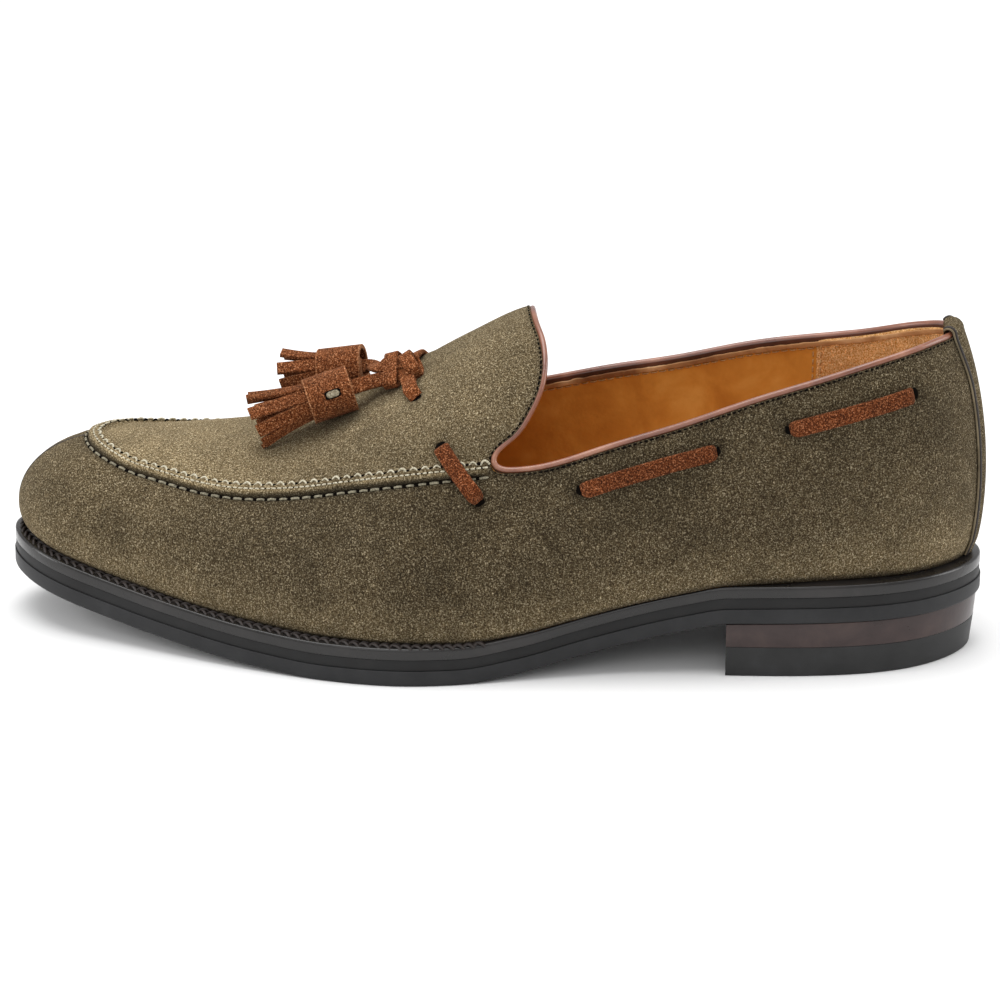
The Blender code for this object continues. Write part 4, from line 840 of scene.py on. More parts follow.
def make_finishes(looks):
    """Every material of the shoe, in the user's colours."""
    olive, rust, tan, brown = (
        tuple(chosen / usual for chosen, usual in zip(colour, rgb(code)))
        for colour, code in (
            (looks.suede, OLIVE), (looks.lace, RUST), (looks.lining, TAN), (looks.binding, BROWN),
        )
    )
    # Calf suede, brushed: matt olive brown, with a paler copy for painted light on the apron, a painted
    # highlight on the seam's crest and paler suede low down; its creases get painted shade
    FINISHES["olive"] = suede(
        "brushed_olive_calf_suede",
        ((0.02, "#1d160c"), (0.36, "#352a1a"), (0.62, OLIVE), (0.84, "#6c614b"), (1.0, "#988c74")), olive,
        ((0.02, "#40331f"), (0.36, "#67583d"), (0.62, "#867559"), (0.84, "#a69673"), (1.0, "#cbbd9e")),
        sheen=0.2,
    )
    # The same suede on the strap, a tone lighter: painted light, as the strap lies across the light
    FINISHES["strap"] = suede(
        "brushed_olive_strap_suede",
        ((0.02, "#221b0f"), (0.36, "#3d3220"), (0.62, "#574a35"), (0.84, "#776b52"), (1.0, "#a0947a")), olive,
        sheen=0.2,
    )
    # Split suede thong: red brown and matt, with calmer fibres
    FINISHES["rust"] = suede(
        "rust_brown_split_suede",
        ((0.02, "#2e1205"), (0.36, "#592e14"), (0.62, RUST), (0.84, "#9d603c"), (1.0, "#c89268")), rust,
        glint=1.38,
    )
    # The thong's bars lie against the upper and are darker: painted shade, as they lie in the upper's shade
    FINISHES["side_rust"] = suede(
        "shaded_rust_split_suede",
        ((0.02, "#260e03"), (0.36, "#4c250f"), (0.62, "#6b3518"), (0.84, "#8d5230"), (1.0, "#b87c58")), rust,
        glint=1.38,
    )
    # A knife's cut through the split shows its paler core, made paler still as a painted highlight on the
    # band's rims
    FINISHES["rust_edge"] = suede(
        "cut_rust_suede_edge",
        ((0.02, "#5a3018"), (0.36, "#824e2e"), (0.62, "#a06a45"), (1.0, "#c59670")), rust,
    )
    # Undyed split: the pale strip that closes the band
    FINISHES["keeper"] = suede("pale_split_suede", ((0.05, "#5f5642"), (0.5, "#958a74"), (0.95, "#b9b09a")))
    # Flesh side of the lining leather, turned out to hold the heel: tan and napped
    FINISHES["grip"] = suede(
        "tan_heel_grip_suede", ((0.05, "#b2783a"), (0.5, "#dba264"), (0.95, "#f4d09c")), tan,
        nap=0.7, sheen=0.2, glint=1.38,
    )
    # Glazed binding leather: satin, with a clear line of light along its roll
    FINISHES["binding"] = leather(
        "glazed_brown_binding_leather", ((0.1, "#663a2a"), (0.6, BROWN), (0.95, "#94644d")),
        0.0009, 0.31, 0.45, tint=brown,
    )
    # Its back inside the collar: dull, and darker as painted shade of the collar's inside
    FINISHES["inner_binding"] = leather(
        "shaded_binding_flesh_side", ((0.1, "#3a1c10"), (0.6, "#4f2b1c"), (0.95, "#633a29")),
        0.0009, 0.55, tint=brown,
    )
    # Cut edges, unfinished: the hide's pale middle, dull
    FINISHES["raw_edge"] = leather(
        "cut_tan_leather_edge", ((0.1, "#7a4c26"), (0.6, "#b08152"), (0.95, "#d8b184")),
        0.0006, 0.7, tint=tan,
    )
    FINISHES["strap_edge"] = leather(
        "cut_olive_suede_edge", ((0.1, "#4a3f2c"), (0.6, "#6d6048"), (0.95, "#857860")),
        0.0006, 0.8, tint=olive,
    )
    # Vegetable tanned lining: smooth, warm tan, a light sheen from its wax
    FINISHES["lining"] = leather(
        "vegetable_tanned_lining_leather", ((0.1, "#b7762c"), (0.55, TAN), (0.95, "#d69a48")),
        0.0011, 0.42, 0.1, tint=tan,
    )
    # Inked and burnished welt: near black, glossy on its rim
    FINISHES["welt_edge"] = leather(
        "burnished_welt_edge", ((0.1, "#171514"), (0.6, "#1d1b1a"), (0.95, "#252221")),
        0.0012, 0.27, coat=0.40, depth=0.00006, shine=0.25,
    )
    # Stacked heel leather, stained and waxed: very dark brown with a soft gloss
    FINISHES["stack"] = leather(
        "waxed_heel_stack_leather", ((0.1, "#291c1a"), (0.55, "#342624"), (0.95, "#3f302c")),
        0.0015, 0.30, coat=0.3, depth=0.00006, shine=0.25,
    )
    # Painted shade for holes, slots and gaps between stitches: black, with no shine
    FINISHES["hole"] = leather(
        "shadowed_hole_edge", ((0.1, "#060403"), (0.9, "#0d0906")), 0.001, 0.9, shine=0.05
    )
    # Trimmed rubbers: charcoal to black, dull from grinding
    for key, name, codes, roughness in (
        ("midsole", "black_midsole_rubber", ("#171616", "#1b1b1b", "#201f1f"), 0.5),
        ("outsole", "charcoal_outsole_rubber", ("#212122", "#262627", "#2b2b2c"), 0.46),
        ("lift", "black_heel_rubber", ("#252525", "#2a2a2a", "#2f2f30"), 0.45),
    ):
        FINISHES[key] = rubber(name, tuple(zip((0.1, 0.6, 0.95), codes)), roughness)
    # Waxed threads: stone for the apron, darker for the stitches in its lower crease, brown for the welt,
    # dark brown for the toe's seam and for the strap's cords, which are painted shadow, tan inside
    for key, name, dark, light in (
        ("pale_thread", "waxed_stone_thread", "#8b8269", "#cfc8b2"),
        ("crease_thread", "darker_stone_thread", "#544d3c", "#979079"),
        ("dark_thread", "waxed_dark_brown_thread", "#14100d", "#2b211d"),
        ("brown_thread", "waxed_brown_welt_thread", "#110b09", "#281c17"),
        ("tan_thread", "waxed_tan_thread", "#8a5e30", "#cda26c"),
    ):
        FINISHES[key] = spun_thread(name, ((0.3, dark), (0.7, light)))


def link(name, data):
    """A new object in the scene."""
    obj = bpy.data.objects.new(name, data)
    bpy.context.scene.collection.objects.link(obj)
    return obj


def dressed(obj, stands_for=()):
    """Puts the piece on the shoe's one body, and hides the solids it stands for."""
    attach(obj, "root")
    if stands_for:
        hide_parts(*stands_for)
    return obj


def solid(
    name, points, faces, finish, slot, stands_for=(), sharp=50.0, attributes=None, is_sheet=False
):
    """A piece from points and faces: merged where they meet, turned outwards and shaded smooth."""
    if not faces:
        raise RuntimeError(f"{name} has no faces")
    mesh = bpy.data.meshes.new(name)
    mesh.from_pydata((np.asarray(points, float) + SHIFT).tolist(), [], faces)
    for key, values in (attributes or {}).items():
        mesh.attributes.new(key, "FLOAT", "POINT").data.foreach_set("value", np.asarray(values, np.float32))
    made = bmesh.new()
    made.from_mesh(mesh)
    bmesh.ops.remove_doubles(made, verts=made.verts, dist=2e-6)
    bmesh.ops.dissolve_degenerate(made, edges=made.edges, dist=2e-6)
    if not is_sheet:
        bmesh.ops.recalc_face_normals(made, faces=made.faces)
        if made.calc_volume(signed=True) < 0:
            bmesh.ops.reverse_faces(made, faces=made.faces)
    made.to_mesh(mesh)
    made.free()
    mesh.materials.append(FINISHES[finish])
    mesh.shade_smooth()
    mesh.set_sharp_from_angle(angle=math.radians(sharp))
    return dressed(link(name, mesh), stands_for)


def rounded_section(width, height, corner, steps=3):
    """Points round a rectangle with rounded corners."""
    corner = min(corner, 0.499 * width, 0.499 * height)
    points = []
    for quarter, (u, v) in enumerate(((1, 1), (-1, 1), (-1, -1), (1, -1))):
        for step in range(steps + 1):
            angle = math.pi / 2 * (quarter + step / steps)
            points.append((
                u * (width / 2 - corner) + corner * math.cos(angle),
                v * (height / 2 - corner) + corner * math.sin(angle),
            ))
    return np.array(points)


def lace_section(width, height):
    """The lace's section: a flat strip with soft edges, and points along its flat sides."""
    angle = (np.arange(20) + 0.5) / 20 * 2 * math.pi
    u = np.sign(np.cos(angle)) * np.abs(np.cos(angle)) ** 0.45
    v = np.sign(np.sin(angle)) * np.abs(np.sin(angle)) ** 0.55
    return np.stack([u * width / 2, v * height / 2], axis=1)


def sweep(path, normals, section, closed=False, scale=None):
    """Points and faces of a section carried along a path: its height follows the normals."""
    path, normals = np.asarray(path, float), np.asarray(normals, float)
    if closed:
        ahead = unit(np.roll(path, -1, axis=0) - np.roll(path, 1, axis=0))
    else:
        ahead = unit(np.gradient(path, axis=0))
    normals = unit(normals - (normals * ahead).sum(1)[:, None] * ahead)
    across = np.cross(ahead, normals)
    scale = np.ones(len(path)) if scale is None else np.asarray(scale)
    wide, high = section[None, :, 0, None], section[None, :, 1, None]
    offsets = wide * across[:, None] + high * normals[:, None]
    points = (path[:, None] + scale[:, None, None] * offsets).reshape(-1, 3)
    count, faces = len(section), []
    for i in range(len(path) if closed else len(path) - 1):
        j = (i + 1) % len(path)
        for s in range(count):
            t = (s + 1) % count
            faces.append((i * count + s, i * count + t, j * count + t, j * count + s))
    if not closed:
        last = (len(path) - 1) * count
        faces += [tuple(range(count))[::-1], tuple(last + s for s in range(count))]
    return points, faces


def joined(shapes):
    """Several shapes' points and faces as one."""
    points, faces, first = [], [], 0
    for own_points, own_faces in shapes:
        points.append(own_points)
        faces += [tuple(first + i for i in face) for face in own_faces]
        first += len(own_points)
    return np.concatenate(points), faces


def clipped(grid, level):
    """A grid's values and the faces left where level isn't above zero, cut clean along its zero line."""
    index, rows, faces = {}, [], []

    def kept(a):
        if a not in index:
            index[a] = len(rows)
            rows.append(grid[a])
        return index[a]

    def crossing(a, b):
        key = (a, b) if a < b else (b, a)
        if key not in index:
            share = level[key[0]] / (level[key[0]] - level[key[1]])
            index[key] = len(rows)
            rows.append(grid[key[0]] + (grid[key[1]] - grid[key[0]]) * share)
        return index[key]

    inside = level <= 0
    for k in range(grid.shape[0] - 1):
        for j in range(grid.shape[1] - 1):
            corners = ((k, j), (k + 1, j), (k + 1, j + 1), (k, j + 1))
            held = [inside[corner] for corner in corners]
            if not any(held):
                continue
            face = []
            for i in range(4):
                here, after = corners[i], corners[(i + 1) % 4]
                if held[i]:
                    face.append(kept(here))
                if held[i] != held[(i + 1) % 4]:
                    face.append(crossing(here, after))
            faces.append(tuple(face))
    return np.array(rows), faces


def facing_out(values, faces):
    """The faces, turned round if the first one looks against its own outward direction."""
    a, b, c = (values[i, :3] for i in faces[0][:3])
    if np.dot(np.cross(b - a, c - a), values[faces[0][0], 3:6]) < 0:
        return [face[::-1] for face in faces]
    return faces


def stitch_tree():
    """Threads laid on points: each a short bowed strand along the point's ahead, off its outwards."""
    tree = bpy.data.node_groups.new("laid_threads", "GeometryNodeTree")
    face = tree.interface
    face.new_socket(name="Places", in_out="INPUT", socket_type="NodeSocketGeometry")
    for name in ("Length", "Rise", "Bow", "Thread", "Unevenness"):
        face.new_socket(name=name, in_out="INPUT", socket_type="NodeSocketFloat")
    face.new_socket(name="Seed", in_out="INPUT", socket_type="NodeSocketInt")
    face.new_socket(name="Finish", in_out="INPUT", socket_type="NodeSocketMaterial")
    face.new_socket(name="Threads", in_out="OUTPUT", socket_type="NodeSocketGeometry")
    given = add(tree, "NodeGroupInput").outputs
    half, back, sunk, high, wide, radius = (
        add(tree, "ShaderNodeMath", {"operation": "MULTIPLY"}, {1: factor}, {0: given[name]}).outputs[0]
        for name, factor in (
            ("Length", 0.5), ("Length", -0.5), ("Thread", -0.6), ("Rise", 2.0), ("Bow", 2.0), ("Thread", 0.5),
        )
    )
    start, middle, end = (
        add(tree, "ShaderNodeCombineXYZ", links=links).outputs[0]
        for links in ({"X": back, "Z": sunk}, {"Y": wide, "Z": high}, {"X": half, "Z": sunk})
    )
    line = add(
        tree, "GeometryNodeCurveQuadraticBezier", values={"Resolution": 7},
        links={"Start": start, "Middle": middle, "End": end},
    )
    links = {"Radius": radius}
    ring = add(tree, "GeometryNodeCurvePrimitiveCircle", values={"Resolution": 6}, links=links)
    strand = add(
        tree, "GeometryNodeCurveToMesh", values={"Fill Caps": True},
        links={"Curve": line.outputs[0], "Profile Curve": ring.outputs[0]},
    )
    outwards, ahead = (
        add(
            tree, "GeometryNodeInputNamedAttribute", {"data_type": "FLOAT_VECTOR"}, {"Name": name}
        ).outputs["Attribute"]
        for name in ("outwards", "ahead")
    )
    stand = add(tree, "FunctionNodeAlignRotationToVector", {"axis": "Z"}, links={"Vector": outwards})
    turn = add(
        tree, "FunctionNodeAlignRotationToVector", {"axis": "X", "pivot_axis": "Z"},
        links={"Rotation": stand.outputs[0], "Vector": ahead},
    )
    least, most = (
        add(tree, "ShaderNodeMath", {"operation": way}, {0: 1.0}, {1: given["Unevenness"]}).outputs[0]
        for way in ("SUBTRACT", "ADD")
    )
    size = add(
        tree, "FunctionNodeRandomValue", {"data_type": "FLOAT"},
        links={2: least, 3: most, "Seed": given["Seed"]},
    )
    dots = add(tree, "GeometryNodeMeshToPoints", links={"Mesh": given["Places"]})
    laid = add(
        tree, "GeometryNodeInstanceOnPoints",
        links={"Points": dots.outputs[0], "Instance": strand.outputs[0], "Rotation": turn.outputs[0],
               "Scale": size.outputs[1]},
    )
    real = add(tree, "GeometryNodeRealizeInstances", links={"Geometry": laid.outputs[0]})
    soft = add(tree, "GeometryNodeSetShadeSmooth", links={"Geometry": real.outputs[0]})
    coloured = add(
        tree, "GeometryNodeSetMaterial", links={"Geometry": soft.outputs[0], "Material": given["Finish"]}
    )
    add(tree, "NodeGroupOutput", links={0: coloured.outputs[0]})
    return tree


def laid_threads(
    name, places, ahead, outwards, finish, length, rise, thread, bow=0.0, uneven=0.08, seed=1
):
    """A row of like stitches as one plain mesh."""
    tree = bpy.data.node_groups.get("laid_threads") or stitch_tree()
    mesh = bpy.data.meshes.new(f"{name}_places")
    mesh.from_pydata((np.asarray(places) + SHIFT).tolist(), [], [])
    for key, vectors in (("ahead", ahead), ("outwards", outwards)):
        layer = mesh.attributes.new(key, "FLOAT_VECTOR", "POINT")
        layer.data.foreach_set("vector", np.asarray(vectors, np.float32).ravel())
    holder = link(f"{name}_places", mesh)
    modifier = holder.modifiers.new("threads", "NODES")
    modifier.node_group = tree
    settings = {"Length": length, "Rise": rise, "Bow": bow, "Thread": thread, "Unevenness": uneven,
                "Seed": seed, "Finish": FINISHES[finish]}
    for item in tree.interface.items_tree:
        if item.item_type == "SOCKET" and item.in_out == "INPUT" and item.name in settings:
            modifier[item.identifier] = settings[item.name]
    bpy.context.view_layer.update()
    graph = bpy.context.evaluated_depsgraph_get()
    laid = bpy.data.meshes.new_from_object(holder.evaluated_get(graph))
    laid.name = name
    bpy.data.objects.remove(holder, do_unlink=True)
    return dressed(link(name, laid))


def spaced(path, normals, pitch, start=0.0):
    """Places along a line at a pitch, with the directions ahead and outwards there."""
    lengths = run_lengths(path)
    at = np.arange(start, lengths[-1], pitch)
    places, ahead, outwards = (
        read_along(path, values, at) for values in (path, np.gradient(path, axis=0), normals)
    )
    return places, unit(ahead), unit(outwards)


# The sole

# Radii of each part's rounded edges, below and above, and how far in its flat faces start
CORNERS = {
    "outsole": (0.0008, 0.0002), "midsole": (0.0002, 0.0002), "welt": (0.0002, 0.0009),
    "heel_stack": (0.0002, 0.0002), "heel_top_lift": (0.0007, 0.0002), "insole": (0.0003, 0.0009),
}
FACE_INSET = 0.004
BRAID = (("left", 0.76, 30.0), ("right", 0.50, -30.0))
BRAID_START = 0.50


def sole_stations(outline, x_from, x_to, count):
    """Places along X between two ends, closer together towards an end that is rounded."""
    u = np.linspace(0.0, 1.0, count)
    if math.isclose(x_to, outline.heel[0]) and math.isclose(x_from, outline.toe[0]):
        u = (1 - np.cos(math.pi * u)) / 2
    elif math.isclose(x_to, outline.heel[0]):
        u = np.sin(math.pi * u / 2)
    return x_from + (x_to - x_from) * u


def slab(rings, count=240, breast=None, is_ring=False):
    """A plate or ring of the sole. Each ring is an outline, with a function of x for its height."""
    loops, faces = [], []
    for outline, height in rings:
        x_from = float(outline.toe[0]) if breast is None else breast
        xs = sole_stations(outline, x_from, float(outline.heel[0]), count)
        for side, order in (("outer", slice(None)), ("inner", slice(None, None, -1))):
            run = np.stack([xs, outline.across(xs, side), height(xs)], axis=1)
            loops.append(run[order])
    size = 2 * count
    points = np.concatenate(loops)
    total = len(rings)
    for k in range(total if is_ring else total - 1):
        a, b = k * size, ((k + 1) % total) * size
        faces += [(a + i, a + (i + 1) % size, b + (i + 1) % size, b + i) for i in range(size)]
    if not is_ring:
        for first in (0, (total - 1) * size):
            last = first + size - 1
            faces += [(first + i, first + i + 1, last - 1 - i, last - i) for i in range(count - 1)]
    return points, faces


def edge_rings(part, low, high, inset_of):
    """Rings of a plate between two heights, with a rounded edge below and above."""
    low_corner, high_corner = CORNERS[part]
    rings = []

    def ring(inset, share, lift):
        outline = Outline(outline_points(inset_of(share, inset)))
        rings.append((outline, lambda x: low(x) + (high(x) - low(x)) * share + lift))

    turns = [math.pi / 2 * step / 3 for step in range(4)]
    ring(FACE_INSET, 0.0, 0.0)
    for angle in turns:
        ring(low_corner * (1 - math.sin(angle)), 0.0, low_corner * (1 - math.cos(angle)))
    for angle in turns:
        ring(high_corner * (1 - math.cos(angle)), 1.0, -high_corner * (1 - math.sin(angle)))
    ring(FACE_INSET, 1.0, 0.0)
    return rings


def heel_inset(along, down):
    """How far the heel's side stands inside the sole's edge."""
    back = np.clip(1.0 - along * SOLE_LENGTH / HEEL_LENGTH, 0.0, 1.0)
    return HEEL_STEP * back + HEEL_TAPER * down * back**2


def build_sole():
    """Outsole, midsole, welt, insole and the two parts of the heel."""
    welt_low = OUTSOLE_THICKNESS + MIDSOLE_THICKNESS
    breast = float(SOLE.heel[0]) - HEEL_LENGTH
    split = 1.0 - TOP_LIFT_THICKNESS / float(underside(breast))

    def over_floor(height):
        return lambda x: np.full_like(x, height)

    def over_sole(rise):
        return lambda x: underside(x) + rise

    def over_welt(rise):
        return lambda x: welt_top(x) + rise

    def straight(inset):
        return lambda share, more: inset + more

    def tapered(top, bottom):
        return lambda share, more: (
            lambda along, _: heel_inset(along, top + (bottom - top) * (1 - share)) + more
        )

    def inside_wall(_, more):
        return lambda along, is_outer: ledge(along, is_outer) + WALL + GAP + more

    rings = edge_rings("outsole", underside, over_sole(OUTSOLE_THICKNESS), straight(0.0))
    solid("outsole_rubber", *slab(rings), "outsole", "charcoal_outsole_rubber", ["outsole"])
    rings = edge_rings(
        "midsole", over_sole(OUTSOLE_THICKNESS), over_sole(welt_low), straight(MIDSOLE_INSET)
    )
    solid("midsole_rubber", *slab(rings), "midsole", "black_midsole_rubber", ["midsole"])
    rings = edge_rings("welt", over_sole(welt_low), welt_top, straight(WELT_INSET))
    hollow = Outline(outline_points(WELT_RING_WIDTH))
    rings = [(hollow, rings[0][1])] + rings[1:-1] + [(hollow, rings[-1][1])]
    solid("welt_leather", *slab(rings, is_ring=True), "welt_edge", "dark_brown_welt_leather", ["welt"])
    rings = edge_rings("heel_stack", over_floor(TOP_LIFT_THICKNESS), underside, tapered(0.0, split))
    solid("heel_leather_stack", *slab(rings, 120, breast), "stack", "brown_heel_leather", ["heel_stack"])
    rings = edge_rings(
        "heel_top_lift", over_floor(0.0), over_floor(TOP_LIFT_THICKNESS), tapered(split, 1.0)
    )
    solid("heel_rubber_lift", *slab(rings, 120, breast), "lift", "black_heel_rubber", ["heel_top_lift"])
    rings = edge_rings("insole", over_welt(GAP), over_welt(GAP + INSOLE_THICKNESS), inside_wall)
    solid("leather_insole_sock", *slab(rings, 160), "lining", "tan_lining_leather", ["insole"])


def build_welt_stitches(sizes):
    """The braided row on the welt's ledge, from the waist round the toe."""
    for name, share, lean in BRAID:
        line = outline_points(lambda along, outer: ledge(along, outer) * share)
        keep = share_of(line[:, 0]) > BRAID_START
        first = np.flatnonzero(keep)[0]
        line = line[first : np.flatnonzero(keep)[-1] + 1]
        path = np.concatenate([line, welt_top(line[:, 0])[:, None] + 0.0002], axis=1)
        up = np.tile([0.0, 0.0, 1.0], (len(path), 1))
        places, ahead, outwards = spaced(path, up, sizes.welt_pitch)
        side = np.cross(outwards, ahead)
        angle = math.radians(lean)
        slant = ahead * math.cos(angle) + side * math.sin(angle)
        laid_threads(
            f"welt_braid_{name}", places, slant, outwards, "brown_thread",
            length=sizes.welt_pitch * 1.2, rise=0.0006, thread=0.0010, seed=3,
        )


# The upper

SEAM_LEAD = 0.0014
SEAM_OVERRUN = 0.0009
SEAM_FADE_LEAD = 0.0030
# Depth or rise of the seam's relief, its place over the seam's lower edge and its half-width
GROOVE = (0.00075, -0.0003, 0.0007)
LOOP_WAVE = (0.00022, SEAM_WIDTH - 0.0008, 0.0010)
GATHERS = (0.00012, -0.0030, 0.0026)
# The pull round a lace hole: its depth, half-lengths along and across the lace, and its raised rim
PULL_DEPTH = 0.0010
PULL_ALONG = 0.0019
PULL_ACROSS = 0.0026
RIM_RISE = 0.00035
RIM_RADIUS = 0.0044
# The groove up the toe's middle, and metres of the upper's edge to a station there
TOE_GROOVE = 0.0004
TOE_GROOVE_WIDTH = 0.0006
TOE_STATION = 0.052
SUEDE_THICKNESS = 0.0009


def fine_rows(station, side):
    """Shares of the wall's length at the fine rows, close together over the apron seam."""
    length = wall_profile(station, side)[1][-1]
    seam = side_value("seam", station, side)
    below, above = seam - SEAM_LEAD / length, seam + (SEAM_WIDTH + SEAM_LEAD) / length
    return spread((0.0, below, 30), (below, above, 19), (above, 1.0, 22))


def fine_stations():
    """Stations from heel to toe, close together round the apron."""
    return spread((0.0, 1.0, 28), (1.0, 1.42, 50), (1.42, 2.0, 152), (2.0, 3.0, 88))


def seam_lines(above, lift):
    """The apron seam from the outer side round the toe to the inner side, a length above its lower edge."""
    halves = []
    for side in SIDES:
        end = float(x_at(COLLAR[f"along_{side}"][COLLAR_CORNER])) + SEAM_OVERRUN
        rows = []
        for station in spread((1.3, 2.0, 140), (2.0, 3.0, 90)):
            if feather_point(station, side)[0] > end:
                continue
            length = wall_profile(station, side)[1][-1]
            share = side_value("seam", station, side) + above / length
            normal = wall_normal(station, side, share)
            rows.append(np.concatenate([wall_at(station, side, share) + normal * lift, normal]))
        halves.append(np.array(rows))
    line = np.concatenate([halves[0], halves[1][-2::-1]])
    return line[:, :3], unit(line[:, 3:])


def hole_places():
    """Where the lace goes through the wall: place, outward direction and the lace's direction."""
    holes = []
    for row in LACE_BARS:
        for side in SIDES:
            ends = []
            for end in ("from", "to"):
                ends.append(on_side(float(x_at(row[f"{end}_along"])), row[f"{end}_height"], side))
            along = unit(ends[1][0] - ends[0][0])
            holes += [(*ends[0], along), (*ends[1], -along)]
    knot = place_on_vamp(KNOT, 0.0)
    for row in LACE_HOLES.values():
        place, normal = on_top(float(x_at(row["along"])), row["across"] * BALL_WIDTH)
        holes.append((place, normal, unit(knot - place)))
    return holes


def crease_height(points, is_outer):
    """The soft troughs and the fuller leather beside them."""
    height = np.zeros(points.shape[:2])
    for row in CREASES:
        side = row["side"]
        station = 1.0 + (HEEL_CENTRE - float(x_at(row["along"]))) / (HEEL_CENTRE - TOE_CENTRE)
        middle = wall_at(station, side, row["share"])
        normal = wall_normal(station, side, row["share"])
        forward = unit(np.cross(normal, [0.0, 0.0, 1.0]) * SIDES[side])
        upward = np.cross(forward, normal) * SIDES[side]
        lean = math.radians(row["lean"])
        run = upward * math.cos(lean) + forward * math.sin(lean)
        beside = np.cross(normal, run)
        offset = points - middle
        far = (offset @ run) / row["reach"]
        off = (offset @ beside) / row["width"]
        trough = np.exp(-(far**2) * 1.6) * ((1 - off**2) * np.exp(-(off**2) / 2))
        same = is_outer if side == "outer" else ~is_outer
        height -= row["depth"] * trough * same[None, :]
    return height


def bell(value, middle, width):
    """1 at the middle, falling to 0 on both sides."""
    return np.exp(-(((value - middle) / width) ** 2))


def build_upper(sizes):
    """The suede: its apron seam, gathers, troughs and the pull round the lace's holes."""
    stations = fine_stations()
    base, shares, is_outer = wall_grid(stations, fine_rows)
    normals = grid_normals(base)
    count, rows = shares.shape
    height = base[..., 2] - welt_top(base[..., 0])
    above, phase, fade, on_apron = (np.zeros(shares.shape) for _ in range(4))
    for side, mask in (("outer", is_outer), ("inner", ~is_outer)):
        seams = np.array([side_value("seam", station, side) for station in stations])
        lengths = np.array([wall_profile(station, side)[1][-1] for station in stations])
        line = np.array([wall_at(station, side, seam) for station, seam in zip(stations, seams)])
        from_toe = run_lengths(line[::-1])[::-1]
        above[:, mask] = ((shares - seams[:, None]) * lengths[:, None])[:, mask]
        phase[:, mask] = np.broadcast_to(from_toe[:, None], shares.shape)[:, mask]
        start = float(x_at(COLLAR[f"along_{side}"][COLLAR_CORNER]))
        ahead = start - base[..., 0]
        fade[:, mask] = ramp(-SEAM_FADE_LEAD, SEAM_FADE - SEAM_FADE_LEAD, ahead)[:, mask]
        throat = height > (COLLAR[side][COLLAR_CORNER] + 0.02) * INSTEP_RISE
        on_apron[:, mask] = ((base[..., 0] < start) | throat)[:, mask]
    step = ramp(0.0, 0.0008, above) * (1 - ramp(SEAM_WIDTH - 0.0013, SEAM_WIDTH + 0.0005, above))
    loops = np.cos(2 * math.pi * phase / sizes.loop_pitch)
    gathers = np.cos(2 * math.pi * phase / sizes.stitch_pitch)
    raised = SEAM_HEIGHT * step
    for wave, (size, middle, width) in ((-1.0, GROOVE), (loops, LOOP_WAVE), (gathers, GATHERS)):
        raised += size * wave * bell(above, middle, width)
    raised *= fade
    raised += crease_height(base, is_outer)
    # crease holds painted shade: first in the crease under the apron seam
    crease = bell(above, -0.0001, 0.0010) * fade
    for place, _, along in hole_places():
        offset = base - place + along * 0.0003
        away = offset - (offset @ along)[..., None] * along
        pull = bell(offset @ along, 0.0, PULL_ALONG) * np.exp(-(away**2).sum(-1) / PULL_ACROSS**2)
        raised -= PULL_DEPTH * pull
        # Painted shade in the pull round each lace hole
        crease = np.maximum(crease, 0.9 * pull)
        raised += RIM_RISE * bell(np.linalg.norm(offset, axis=-1) / RIM_RADIUS, 1.0, 0.35)
    from_middle = (3.0 - stations) * TOE_STATION
    raised -= TOE_GROOVE * bell(from_middle, 0.0, TOE_GROOVE_WIDTH)[:, None] * (above < 0)
    outer = base + normals * raised[..., None]
    apron = ramp(-0.0002, 0.0012, above) * ramp(0.0, 0.012, float(x_at(0.430)) - base[..., 0]) * on_apron
    forward = -base[..., 0]
    # Off the apron the suede is paler low on the walls, low on the heel quarter and towards the toe
    paler_off_apron = (1 - ramp(0.0, 0.018, height)) * 0.36 + 0.15 * ramp(0.060, 0.115, forward)
    paler_off_apron += 0.28 * ramp(0.080, 0.125, base[..., 0]) * (1 - ramp(0.010, 0.045, height))
    # Painted light: the apron is paler where the light falls, more towards the toe
    lit = 0.43 + 0.50 * ramp(0.045, 0.095, forward)
    # Painted highlight along the apron seam's crest
    crest = ramp(0.0003, 0.0010, above) * (1 - ramp(SEAM_WIDTH - 0.0024, SEAM_WIDTH - 0.0014, above))
    lit += 0.30 * crest * fade
    paler = np.clip(apron * lit + paler_off_apron * (1 - apron), 0.0, 1.1)
    depth = collar_depth(base.reshape(-1, 3)).reshape(count, rows)
    # Painted shade under the binding and just above the welt
    crease = np.maximum(crease, 0.35 * ramp(-0.0034, -0.0020, depth))
    crease = np.maximum(crease, 0.8 * (1 - ramp(0.0, 0.0018, height)))
    level = depth + 0.80 * BINDING_DIAMETER
    data = np.concatenate([outer, normals, paler[..., None], crease[..., None]], axis=2)
    values, faces = clipped(data, level)
    shell = solid(
        "suede_upper", values[:, :3], facing_out(values, faces), "olive", "olive_suede", ["upper"], 60.0,
        {"paler": values[:, 6], "crease": values[:, 7]}, True,
    )
    thick = shell.modifiers.new("leather", "SOLIDIFY")
    thick.thickness, thick.offset = SUEDE_THICKNESS, -1.0


